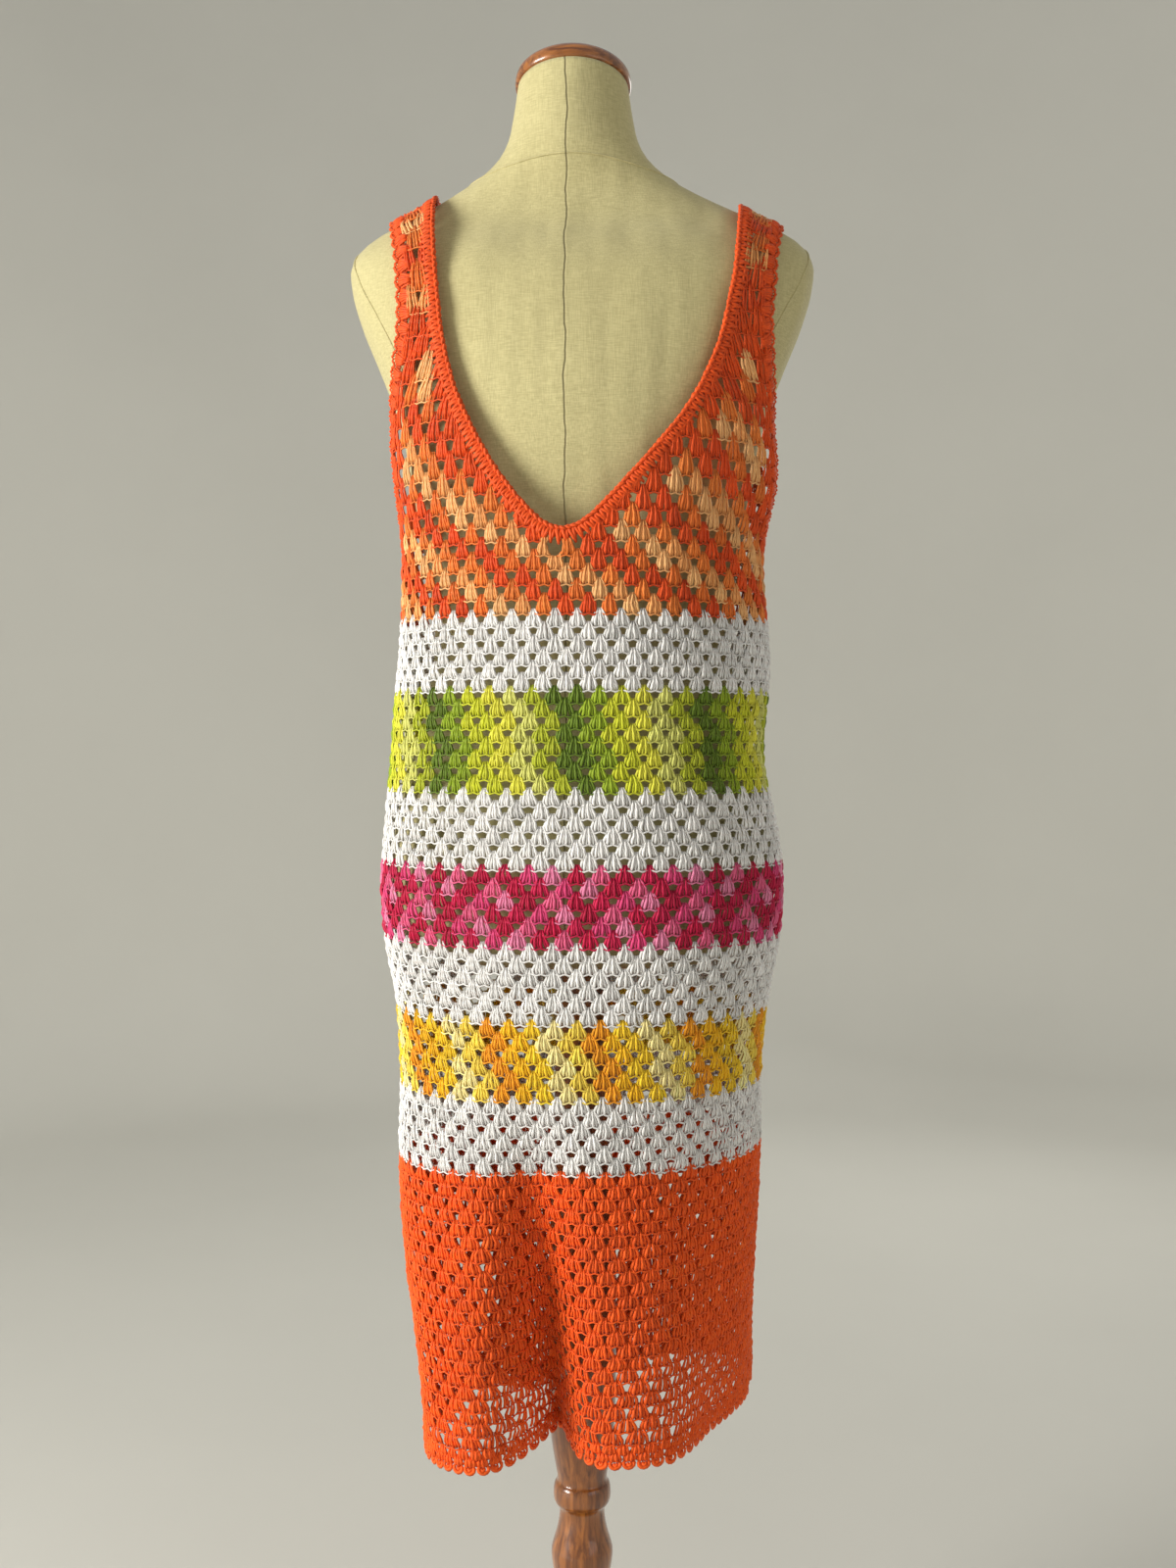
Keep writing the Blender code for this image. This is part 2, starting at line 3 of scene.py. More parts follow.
import bpy
import numpy as np
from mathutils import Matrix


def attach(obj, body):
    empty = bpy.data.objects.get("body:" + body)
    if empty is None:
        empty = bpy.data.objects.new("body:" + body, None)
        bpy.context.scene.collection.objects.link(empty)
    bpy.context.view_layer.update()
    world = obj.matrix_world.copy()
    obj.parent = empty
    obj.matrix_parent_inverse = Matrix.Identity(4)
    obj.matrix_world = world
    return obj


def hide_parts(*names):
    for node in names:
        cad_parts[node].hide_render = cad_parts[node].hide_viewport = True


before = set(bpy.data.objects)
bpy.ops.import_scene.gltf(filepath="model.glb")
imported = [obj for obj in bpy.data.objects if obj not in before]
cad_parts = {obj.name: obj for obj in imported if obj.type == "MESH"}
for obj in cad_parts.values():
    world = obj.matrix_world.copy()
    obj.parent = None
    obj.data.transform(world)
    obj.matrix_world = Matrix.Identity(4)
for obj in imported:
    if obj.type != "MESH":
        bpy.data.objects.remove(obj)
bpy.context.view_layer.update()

# The body of the dress form: a padded torso without arms, covered in khaki linen that is cut
# in panels and sewn tight over it. Its back seam, slightly puckered, runs down from the neck.
MM = 0.001

# Level rings in millimetres: height, half width, how far the middle lies towards +X and
# behind the column, depth of the back and of the front, squareness, rise from front to back
FORM_RINGS = np.array((
    (722, 110, 0, 0, 74, 70, 2.0, 0),
    (727, 131, 0, 0, 92, 85, 2.1, 0),
    (742, 148, 0, 0, 106, 95, 2.2, 0),
    (770, 157, 0, 0, 113, 101, 2.25, 0),
    (800, 158, 0, 0, 114, 102, 2.25, 0),
    (840, 154, 0, 0, 109, 101, 2.25, 0),
    (890, 141, 0, 0, 95, 97, 2.2, 0),
    (940, 129, 0, 0, 82, 91, 2.1, 0),
    (985, 123, 0, 0, 75, 87, 2.1, 0),
    (1030, 127, 0, 0, 80, 92, 2.1, 0),
    (1080, 136, 0, 0, 93, 106, 2.15, 0),
    (1130, 144, 0, 0, 104, 123, 2.2, 0),
    (1170, 153, 0, 0, 110, 131, 2.25, 0),
    (1210, 168, 0, 2, 109, 121, 2.35, 0),
    (1245, 182, 0, 5, 105, 105, 2.4, 0),
    (1275, 190, 0, 8, 98, 87, 2.4, 0),
    (1295, 190, 0, 11, 85, 73, 2.3, 0),
    (1309, 180, 0, 13, 73, 62, 2.2, 0),
    (1320, 163, 1, 15, 65, 54, 2.1, 0),
    (1330, 140, 2, 18, 60, 48, 2.0, 0),
    (1340, 117, 4, 22, 54, 45, 2.0, 0),
    (1351, 94, 6, 26, 51, 45, 2.0, 0),
    (1362, 75, 6, 30, 50, 46, 2.0, 0),
    (1373, 62, 6, 33, 50, 48, 2.0, 0.03),
    (1386, 54, 6, 35, 49, 48, 2.0, 0.08),
    (1406, 49, 6, 36, 47, 47, 2.0, 0.14),
    (1432, 45, 6, 36, 45.5, 45.5, 2.0, math.tan(math.radians(12))),
))
FORM_SIDES = 108
FORM_ROW = 7


def read_rings(table, height):
    """Every column of a table at heights in millimetres: cubic pieces with averaged slopes."""
    height = np.asarray(height, float)
    levels, values = table[:, 0], table[:, 1:]
    slopes = np.gradient(values, levels, axis=0)
    low = np.clip(np.searchsorted(levels, height) - 1, 0, len(levels) - 2)
    span = (levels[low + 1] - levels[low])[..., None]
    t = np.clip((height - levels[low])[..., None] / span, 0, 1)
    keep = (1 + 2 * t) * (1 - t) ** 2 * values[low] + t * t * (3 - 2 * t) * values[low + 1]
    turn = t * (1 - t) ** 2 * slopes[low] - t * t * (1 - t) * slopes[low + 1]
    return np.moveaxis(keep + turn * span, -1, 0)


def form_surface(turn, height):
    """Points of the padded body, on level rings between an ellipse and a rounded box.

    x is the half width times the cosine of the turn, y the depth times its sine, each to the
    power of two over the squareness. The rings of the neck rise towards the back.
    """
    half_width, aside, middle, back, front, squareness, rise = read_rings(FORM_RINGS, height)
    cosine, sine = np.cos(turn), np.sin(turn)
    x = half_width * np.sign(cosine) * np.abs(cosine) ** (2 / squareness)
    y = np.where(sine > 0, back, front) * np.sign(sine) * np.abs(sine) ** (2 / squareness)
    return np.stack((aside + x, middle + y, height + rise * y), axis=-1)


def ring_faces(rows, columns):
    """Quads between the neighbouring rows of a grid whose columns close into a ring."""
    here = np.arange(rows * columns).reshape(rows, columns)
    there = np.roll(here, -1, axis=1)
    return np.stack((here[:-1], there[:-1], there[1:], here[1:]), axis=-1).reshape(-1, 4)


def put_in_scene(name, data):
    """A new object for a mesh, a light or a camera, linked to the scene."""
    thing = bpy.data.objects.new(name, data)
    bpy.context.scene.collection.objects.link(thing)
    return thing


def make_mesh(name, points, face_tables, material):
    """A smooth mesh object from points in millimetres and tables of faces."""
    mesh = bpy.data.meshes.new(name)
    corners = np.concatenate([table.ravel() for table in face_tables]).astype(np.int32)
    sizes = np.concatenate([np.full(len(table), table.shape[1]) for table in face_tables])
    starts = np.concatenate(([0], np.cumsum(sizes)[:-1])).astype(np.int32)
    mesh.vertices.add(len(points))
    mesh.vertices.foreach_set("co", (points * MM).astype(np.float32).ravel())
    mesh.loops.add(len(corners))
    mesh.loops.foreach_set("vertex_index", corners)
    mesh.polygons.add(len(sizes))
    mesh.polygons.foreach_set("loop_start", starts)
    mesh.update(calc_edges=True)
    mesh.shade_smooth()
    mesh.materials.append(material)
    return put_in_scene(name, mesh)


def make_piece(name, points, face_tables, material, slot, replaced):
    """A mesh that rides on the root and stands for the CAD nodes that it replaces."""
    piece = make_mesh(name, points, face_tables, material)
    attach(piece, "root")
    if replaced:
        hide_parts(*replaced)
    return piece


def linear(colour, alpha=1.0):
    """Linear values of an sRGB hex colour."""
    parts = [int(colour[i:i + 2], 16) / 255 for i in (1, 3, 5)]
    return (*(c / 12.92 if c <= 0.04045 else ((c + 0.055) / 1.055) ** 2.4 for c in parts), alpha)


def start_material(name):
    """A new material: its node tree and its Principled shader."""
    material = bpy.data.materials.new(name)
    material.use_nodes = True
    return material, material.node_tree, material.node_tree.nodes["Principled BSDF"]


def feed(tree, node, inputs):
    """Values for a node's inputs, or links to them from sockets or from nodes' first outputs."""
    for socket, value in inputs.items():
        if isinstance(value, bpy.types.Node):
            value = value.outputs[0]
        if isinstance(value, bpy.types.NodeSocket):
            tree.links.new(value, node.inputs[socket])
        else:
            node.inputs[socket].default_value = value


def add(tree, kind, inputs, **settings):
    """One node with its settings and links."""
    node = tree.nodes.new("ShaderNode" + kind)
    for setting, value in settings.items():
        setattr(node, setting, value)
    feed(tree, node, inputs)
    return node


def make_linen():
    """Plain-woven linen: matt, with upright slubs, a faint mottle and one sunk back seam."""
    material, tree, shader = start_material("plain_woven_khaki_linen")
    place = add(tree, "TexCoord", {}).outputs["Object"]
    # slubs about 0.8 mm wide and 12 mm long, and weft 0.7 mm thick that varies every 6 mm;
    # single threads would be too fine to show
    upright = add(tree, "Mapping", {"Vector": place, "Scale": (1250, 1250, 85)})
    slub = add(tree, "TexNoise", {"Vector": upright, "Scale": 1, "Detail": 2})
    level = add(tree, "Mapping", {"Vector": place, "Scale": (160, 160, 1400)})
    weft = add(tree, "TexNoise", {"Vector": level, "Scale": 1, "Detail": 1})
    mottle = add(tree, "TexNoise", {"Vector": place, "Scale": 9, "Detail": 2})
    threads = add(tree, "Math", {0: slub, 1: weft}, operation="ADD")
    tone = add(tree, "MapRange", {"Value": threads, "From Min": 0.7, "From Max": 1.3})
    cloth = add(tree, "Mix", {0: tone, 6: linear("#B7AD7C"), 7: linear("#D1C793")},
                data_type="RGBA")
    shade = add(tree, "MapRange", {"Value": mottle, "From Min": 0.4, "From Max": 0.75,
                                   "To Max": 0.35})
    stained = add(tree, "Mix", {0: shade, 6: cloth.outputs[2], 7: linear("#A99F70")},
                  data_type="RGBA")
    # the back seam wanders by about a millimetre round x = 9.5 mm
    parts = add(tree, "SeparateXYZ", {0: place})
    tall = add(tree, "Mapping", {"Vector": place, "Scale": (0, 0, 26)})
    wander = add(tree, "TexNoise", {"Vector": tall, "Scale": 1, "Detail": 3})
    sway = add(tree, "MapRange", {"Value": wander, "To Min": -0.0135, "To Max": -0.0055})
    off = add(tree, "Math", {0: parts.outputs["X"], 1: sway}, operation="ADD")
    away = add(tree, "Math", {0: off}, operation="ABSOLUTE")
    behind = add(tree, "MapRange", {"Value": parts.outputs["Y"], "From Min": 0.01,
                                    "From Max": 0.03})
    line = add(tree, "MapRange", {"Value": away, "From Min": 0.0002, "From Max": 0.0011,
                                  "To Min": 0.75, "To Max": 0.0})
    seam = add(tree, "Math", {0: line, 1: behind}, operation="MULTIPLY")
    sewn = add(tree, "Mix", {0: seam, 6: stained.outputs[2], 7: linear("#867D58")},
               data_type="RGBA")
    # puckers about 12 mm tall, fading out 14 mm from the seam
    near = add(tree, "MapRange", {"Value": away, "From Min": 0.001, "From Max": 0.014,
                                  "To Min": 1.0, "To Max": 0.0})
    ripple = add(tree, "Mapping", {"Vector": place, "Scale": (24, 24, 85)})
    pucker = add(tree, "TexNoise", {"Vector": ripple, "Scale": 1, "Detail": 1})
    drawn = add(tree, "Math", {0: pucker, 1: near}, operation="MULTIPLY")
    drawn = add(tree, "Math", {0: drawn, 1: behind}, operation="MULTIPLY")
    sunk = add(tree, "Math", {0: drawn, 1: seam}, operation="SUBTRACT")
    woven = add(tree, "Bump", {"Height": threads, "Strength": 0.35, "Distance": 0.0004})
    dented = add(tree, "Bump", {"Height": sunk, "Strength": 0.9, "Distance": 0.0012,
                                "Normal": woven})
    # soft upright creases about 30 mm apart, where the cover is drawn over the padding
    drape = add(tree, "Mapping", {"Vector": place, "Scale": (33, 33, 7)})
    crease = add(tree, "TexNoise", {"Vector": drape, "Scale": 1, "Detail": 1})
    creased = add(tree, "Bump", {"Height": crease, "Strength": 0.5, "Distance": 0.006,
                                 "Normal": dented})
    feed(tree, shader, {"Base Color": sewn.outputs[2], "Normal": creased, "Roughness": 0.92,
                        "Sheen Weight": 0.15})
    return material


LINEN = make_linen()
BODY_FOOT, BODY_TOP = FORM_RINGS[0, 0], FORM_RINGS[-1, 0]
form_heights = np.append(np.arange(BODY_FOOT, BODY_TOP, FORM_ROW), BODY_TOP)
form_turns = np.linspace(0, 2 * math.pi, FORM_SIDES, endpoint=False)
form_points = form_surface(form_turns, form_heights[:, None])
first_ring = np.arange(FORM_SIDES)[None, :]
last_ring = first_ring + (len(form_heights) - 1) * FORM_SIDES
form_faces = [ring_faces(len(form_heights), FORM_SIDES), first_ring[:, ::-1], last_ring]
make_piece("linen_body", form_points.reshape(-1, 3), form_faces, LINEN, "linen_cover",
           ["form_body"])

# The sewn lines on the body: the seam where the neck piece joins the shoulders, and the edge
# of the oval plate that closes each arm. Each is a thin folded welt of the same linen.
NECK_SEAM_HEIGHT = 1366
NECK_SEAM_DIP = 11
ARM_PLATE_MIDDLE = (4, 1212)
ARM_PLATE_HALVES = (62, 97)
WELT_RADIUS = 0.9
WELT_SIDES = 6
WELT_POINTS = 160


def closed_tube(path, radius, sides):
    """Points and faces of a tube: a circle carried at right angles along a closed path."""
    along = np.roll(path, -1, axis=0) - np.roll(path, 1, axis=0)
    along /= np.linalg.norm(along, axis=1)[:, None]
    outward = path - path.mean(axis=0)
    outward -= (outward * along).sum(axis=1)[:, None] * along
    outward /= np.linalg.norm(outward, axis=1)[:, None]
    across = np.cross(along, outward)
    turn = np.linspace(0, 2 * math.pi, sides, endpoint=False)[None, :, None]
    points = path[:, None] + radius * (np.cos(turn) * outward[:, None] +
                                       np.sin(turn) * across[:, None])
    return points.reshape(-1, 3), close_rows(ring_faces(len(path), sides), len(path), sides)


def close_rows(faces, rows, columns):
    """A grid's faces, with quads added from its last row back to its first."""
    last = np.arange(columns) + (rows - 1) * columns
    first = np.arange(columns)
    more = np.stack((last, np.roll(last, -1), np.roll(first, -1), first), axis=-1)
    return np.vstack((faces, more))


welt_turns = np.linspace(0, 2 * math.pi, WELT_POINTS, endpoint=False)
dip = NECK_SEAM_HEIGHT - NECK_SEAM_DIP * np.cos(welt_turns) ** 2
welts = [closed_tube(form_surface(welt_turns, dip), WELT_RADIUS, WELT_SIDES)]
for side in (1, -1):
    plate_y = ARM_PLATE_MIDDLE[0] + ARM_PLATE_HALVES[0] * np.cos(welt_turns)
    plate_z = ARM_PLATE_MIDDLE[1] + ARM_PLATE_HALVES[1] * np.sin(welt_turns)
    wide, aside, middle, back, front, squareness, _ = read_rings(FORM_RINGS, plate_z)
    depth = np.where(plate_y > middle, back, front)
    rest = (1 - (np.abs(plate_y - middle) / depth).clip(0, 1) ** squareness).clip(0, 1)
    plate_x = side * wide * rest ** (1 / squareness) + aside
    plate = np.column_stack((plate_x, plate_y, plate_z))
    welts.append(closed_tube(plate, WELT_RADIUS, WELT_SIDES))
for label, (points, faces) in zip(("neck_seam", "arm_plate_left", "arm_plate_right"), welts):
    make_piece(label, points, [faces], LINEN, "linen_cover", [])

# The wooden parts of the stand, turned on a lathe from beech, stained brown and varnished:
# a tilted cap on the neck, the column with its ring and bead, and a plain round base.
# Outlines in millimetres from the bottom up: height, radius
COLUMN = np.array((
    (30.3, 0), (30.3, 46), (33, 46), (46, 37), (68, 33), (100, 25), (150, 20.4), (204, 22.2),
    (216, 24.8), (228, 26), (235, 24.2), (246, 20.6), (259, 18.5), (265, 19.5), (269, 23.2),
    (276, 24.2), (284, 23.2), (287, 20), (300, 22.6), (318, 25.6), (338, 27.8), (380, 28.8),
    (440, 28.5), (540, 25.5), (640, 22), (721.7, 20), (721.7, 0),
))
NECK_CAP = np.array((
    (0, 0), (0, 46), (3, 47.3), (7.5, 47.3), (11.5, 46), (16, 41), (21.5, 31), (25, 16), (26, 0),
))
BASE_PLATE = np.array((
    (0, 0), (0, 178), (2, 180), (8, 180), (17, 176), (21, 168), (24, 120), (28.5, 60), (30, 52),
    (30, 0),
))
TURNED_SIDES = 72
CAP_TILT = math.radians(12)
CAP_GAP = 0.3
CAP_PLACE = (6, 36 - CAP_GAP * math.sin(CAP_TILT), BODY_TOP + CAP_GAP * math.cos(CAP_TILT))


def soften(outline, times=2):
    """An outline with its corners cut at a quarter of their sides, a few times over."""
    for _ in range(times):
        low, high = outline[:-1], outline[1:]
        cut = np.stack((0.75 * low + 0.25 * high, 0.25 * low + 0.75 * high), axis=1)
        outline = np.vstack((outline[:1], cut.reshape(-1, 2), outline[-1:]))
    return outline


def turned(outline):
    """Points and faces of a turned solid: its outline's radius carried round the upright axis."""
    height, radius = soften(outline).T
    turn = np.linspace(0, 2 * math.pi, TURNED_SIDES, endpoint=False)
    rings = np.stack((radius[1:-1, None] * np.cos(turn), radius[1:-1, None] * np.sin(turn),
                      np.repeat(height[1:-1, None], TURNED_SIDES, 1)), axis=-1)
    count = rings.shape[0] * TURNED_SIDES
    low = np.arange(TURNED_SIDES)
    high = low + count - TURNED_SIDES
    fans = np.vstack((
        np.column_stack((np.full(TURNED_SIDES, count), np.roll(low, -1), low)),
        np.column_stack((np.full(TURNED_SIDES, count + 1), high, np.roll(high, -1))),
    ))
    points = np.vstack((rings.reshape(-1, 3), (0, 0, height[0]), (0, 0, height[-1])))
    return points, [ring_faces(rings.shape[0], TURNED_SIDES), fans]


def make_wood(name, lengthwise):
    """Stained beech under gloss varnish: fine straight grain, darker in streaks, sharp shine."""
    material, tree, shader = start_material(name)
    place = add(tree, "TexCoord", {}).outputs["Object"]
    # grain streaks about 4 mm wide and 60 mm long, and flecks about 1 mm by 8 mm
    across_and_along = [(240, 1000), (16, 120)]
    streak_scale, fleck_scale = zip(*(across_and_along[axis == lengthwise] for axis in range(3)))
    long = add(tree, "Mapping", {"Vector": place, "Scale": streak_scale})
    streak = add(tree, "TexNoise", {"Vector": long, "Scale": 1, "Detail": 3,
                                    "Distortion": 0.6})
    short = add(tree, "Mapping", {"Vector": place, "Scale": fleck_scale})
    fleck = add(tree, "TexNoise", {"Vector": short, "Scale": 1, "Detail": 1})
    tone = add(tree, "MapRange", {"Value": streak, "From Min": 0.35, "From Max": 0.68})
    stain = add(tree, "Mix", {0: tone, 6: linear("#6B3812"), 7: linear("#AE6A2C")},
                data_type="RGBA")
    spots = add(tree, "MapRange", {"Value": fleck, "From Min": 0.6, "From Max": 0.75,
                                   "To Max": 0.45})
    flecked = add(tree, "Mix", {0: spots, 6: stain.outputs[2], 7: linear("#4A260E")},
                  data_type="RGBA")
    relief = add(tree, "Bump", {"Height": fleck, "Strength": 0.15, "Distance": 0.0002})
    feed(tree, shader, {"Base Color": flecked.outputs[2], "Normal": relief, "Roughness": 0.32,
                        "Coat Weight": 1.0, "Coat Roughness": 0.07})
    return material


UPRIGHT_WOOD = make_wood("varnished_beech_upright_grain", 2)
LEVEL_WOOD = make_wood("varnished_beech_level_grain", 0)
cap_points, cap_faces = turned(NECK_CAP)
tilt = np.array(((1, 0, 0), (0, math.cos(CAP_TILT), -math.sin(CAP_TILT)),
                 (0, math.sin(CAP_TILT), math.cos(CAP_TILT))))
make_piece("turned_cap", cap_points @ tilt.T + CAP_PLACE, cap_faces, LEVEL_WOOD,
           "varnished_wood", ["neck_cap"])
make_piece("turned_column", *turned(COLUMN), UPRIGHT_WOOD, "varnished_wood", ["column"])
make_piece("turned_base", *turned(BASE_PLATE), LEVEL_WOOD, "varnished_wood", ["base_plate"])

# The dress: crocheted from the straps down in cotton, in rounds of clusters of three long
# stitches. Each cluster hooks into the space between two clusters of the round above, and
# the rounds change colour in bands. Here every strand that shows is its own twisted tube.
HEM_HEIGHT = 345
BODICE_BOTTOM = 1000
ARMHOLE_BOTTOM = 1070
STRAP_START = 1265
STRAP_TOP = 1378
SHOULDER_FOOT = 1305
STRAP_OVER_SHOULDER = 3.7
NECK_EDGING_WIDTH = 8
ARM_EDGING_WIDTH = 11
SEAM_GAP = 0.3
FOLD_GROWTH = 1.3

# Level rings of the cloth in millimetres, through the middle of its wall: height, half width,
# how far the middle lies behind the column, depth of the back and of the front, squareness,
# and how far the ring leans out of square
CLOTH_RINGS = np.array((
    (345, 141, 0, 114, 104, 2.1, 0.42),
    (400, 142, 0, 115, 105, 2.15, 0.38),
    (450, 144, 0, 115, 106, 2.2, 0.32),
    (520, 147, 0, 116, 107, 2.25, 0.23),
    (580, 148, 0, 117, 107, 2.3, 0.14),
    (640, 148, 0, 118, 108, 2.3, 0.06),
    (700, 154, 0, 120, 109, 2.3, 0),
    (735, 161, 0, 121, 110, 2.3, 0),
    (780, 165, 0, 122, 111, 2.3, 0),
    (850, 160, 0, 120, 111, 2.25, 0),
    (900, 155, 0, 118, 112, 2.2, 0),
    (950, 152, 0, 116, 114, 2.2, 0),
    (1000, 149, 0, 115, 118, 2.2, 0),
    (1035, 148, 0, 115, 123, 2.2, 0),
    (1070, 149, 0, 115, 128, 2.2, 0),
    (1100, 154, 0, 116, 132, 2.3, 0),
    (1140, 159, 0, 117, 138, 2.4, 0),
    (1170, 162, 1, 118, 140, 2.4, 0),
    (1210, 173, 2, 117, 131, 2.4, 0),
    (1245, 187, 5, 113, 115, 2.4, 0),
    (1265, 194, 7, 108, 102, 2.4, 0),
))

# Where the cloth hangs off centre: height, shift of the neckline and of the armhole edges
SHIFTS = np.array((
    (960, 2, 0), (1058, 11, 0), (1075, 11, -1), (1110, 9, -2), (1160, 2, -4), (1210, -3, -6),
    (1265, -6, -7), (1378, -7, -5),
), float)

# Where one side stands out or is drawn in: side, height, spread in height, reach, how far out
FLARES = ((-1, 1112, 34, 62, 8), (-1, 985, 45, 70, 4), (-1, 885, 42, 90, -7), (1, 905, 60, 70, 2),
          (1, 345, 140, 79, -20))

# Folds down to the hem: panel, distance from its centre line, drift by the hem, half width,
# depth at the hem (negative stands out), start height
FOLDS = (
    (1, 38, -12, 26, 86, 640), (1, -34, 0, 50, -12, 600), (1, -67, 0, 30, -20, 600),
    (-1, 62, -8, 25, 42, 620), (-1, -48, 6, 24, 36, 650), (-1, 4, 0, 24, -6, 600),
    (-1, 150, 0, 34, 16, 700), (-1, -140, 0, 40, -14, 620),
)

# Finished edges of the back and the front: height, distance from the centre line on the cloth
NECK_EDGES = {
    1: ((1067, 0), (1069, 9), (1076, 20), (1086, 30), (1110, 51), (1134, 69), (1150, 80),
        (1181, 97), (1210, 107), (1257, 115), (1378, 125.6)),
    -1: ((1128, 0), (1130, 12), (1136, 25), (1150, 44), (1172, 66), (1200, 86), (1232, 102),
         (1257, 110), (1300, 118), (1378, 125.3)),
}
ARM_EDGES = {
    1: ((1072, 206), (1077, 198), (1087, 192), (1104, 189), (1140, 188), (1170, 182),
        (1200, 167.5), (1236, 155), (1270, 154.5), (1320, 161.5), (1378, 169.4)),
    -1: ((1072, 215), (1077, 206), (1087, 198), (1104, 192), (1140, 184), (1170, 177),
         (1200, 165), (1236, 155), (1270, 154), (1320, 161), (1378, 168.2)),
}
LEVELS = np.linspace(HEM_HEIGHT, STRAP_TOP, 260)
SHARES = np.linspace(-1, 1, 161)
LEVEL_STEP = LEVELS[1] - LEVELS[0]
OUTLINE_STEPS = 160
EDGE_POINTS = 80


def shoulder_ridge(x):
    """Where the middle of a strap crosses the shoulder: y and z for each x."""
    rings = FORM_RINGS[FORM_RINGS[:, 0] >= SHOULDER_FOOT]
    y, z = np.zeros_like(x), np.zeros_like(x)
    for side in (1, -1):
        widths = -(rings[:, 1] + side * rings[:, 2])
        here = x * side >= 0
        y[here] = np.interp(-side * x[here], widths, rings[:, 3])
        z[here] = np.interp(-side * x[here], widths, rings[:, 0])
    return y, z + STRAP_OVER_SHOULDER


def lay_panel(panel):
    """One panel of the cloth: points, outward directions and half lengths, row by row.

    A row is a quarter of a rounded box on each side of the centre line, pushed in or out by
    bell-shaped folds and flares. Its points are spread by a length halfway between that of
    the plain outline and that of the folded one. Above the strap start the rows swing over
    the shoulder on a quarter of an ellipse.
    """
    level = np.minimum(LEVELS, STRAP_START)
    half_width, middle, back, front, squareness, skew = read_rings(CLOTH_RINGS, level)[..., None]
    depth = back if panel > 0 else front
    angle = np.linspace(math.pi / 2, 0, OUTLINE_STEPS)
    x = half_width * np.cos(angle).clip(0, 1) ** (2 / squareness)
    y = panel * depth * np.sin(angle).clip(0, 1) ** (2 / squareness) + middle
    x[:, 0] = 0
    girth = np.cumsum(np.hypot(np.diff(x, prepend=0), np.diff(y, prepend=y[:, :1])), axis=1)
    lean_x = np.gradient(x, axis=1) / np.gradient(girth, axis=1)
    lean_y = np.gradient(y, axis=1) / np.gradient(girth, axis=1)

    def mirrored(values, sign):
        """A quantity along the half outline, carried over to the other side of the centre."""
        return np.concatenate((sign * values[:, :0:-1], values), axis=1)

    across = mirrored(girth, -1)
    side = girth[:, -1:]
    push = np.zeros_like(across)
    for flare_side, height, spread, reach, out in FLARES:
        bell = np.exp(-((level[:, None] - height) / spread) ** 2
                      - ((side - np.abs(across)) / reach) ** 2)
        push -= np.where(across * flare_side > 0, out * bell, 0)
    for fold_panel, distance, drift, half, deep, start in FOLDS:
        if fold_panel == panel:
            grown = ((start - level) / (start - HEM_HEIGHT)).clip(0, 1)[:, None]
            place = distance + drift * grown
            push += deep * grown ** FOLD_GROWTH * np.exp(-((across - place) / half) ** 2)
    px = mirrored(x, -1) + push * panel * mirrored(lean_y, -1)
    py = mirrored(y, 1) - push * panel * mirrored(lean_x, 1)
    py += px * skew
    pz = np.repeat(level[:, None], px.shape[1], 1)
    turn = ((LEVELS - level) / (STRAP_TOP - STRAP_START) * math.pi / 2)[:, None]
    ridge_y, ridge_z = shoulder_ridge(px)
    over = turn > 0
    py = np.where(over, ridge_y + (py - ridge_y) * np.cos(turn), py)
    pz = np.where(over, pz + (ridge_z - pz) * np.sin(turn), pz)
    folded = np.hypot(np.diff(px, axis=1), np.diff(py, axis=1))
    plain = np.diff(across, axis=1)
    below = level[:, None] < BODICE_BOTTOM
    way = np.cumsum(np.where(below, np.sqrt(folded * plain), plain), axis=1)
    way = np.concatenate((np.zeros((len(way), 1)), way), axis=1)
    half_length = way[:, -1] / 2
    # above the armholes a share is a plain distance, measured against the side at the fork
    fork = np.interp(ARMHOLE_BOTTOM, LEVELS, half_length)
    above = LEVELS > ARMHOLE_BOTTOM
    scale = np.where(above, fork, half_length)
    share = np.where(above[:, None], across / fork, way / half_length[:, None] - 1)
    points = np.stack([
        np.stack([np.interp(SHARES, share[r], values[r]) for r in range(len(LEVELS))])
        for values in (px, py, pz)
    ], axis=-1)
    outward = -panel * np.cross(np.gradient(points, axis=1), np.gradient(points, axis=0))
    outward /= np.linalg.norm(outward, axis=-1)[..., None].clip(1e-9)
    return points, outward, scale


back_sheet, front_sheet = lay_panel(1), lay_panel(-1)
SHEET_POINTS = np.stack((back_sheet[0], front_sheet[0]))
SHEET_NORMALS = np.stack((back_sheet[1], front_sheet[1]))
SHEET_SCALE = np.stack((back_sheet[2], front_sheet[2]))


def sheet_scale(panel, height):
    """Millimetres of cloth for a share of one, at heights on a panel (1 back, -1 front)."""
    row = ((np.asarray(height) - HEM_HEIGHT) / LEVEL_STEP).clip(0, len(LEVELS) - 1).astype(int)
    return SHEET_SCALE[(np.asarray(panel) < 0).astype(int), row]


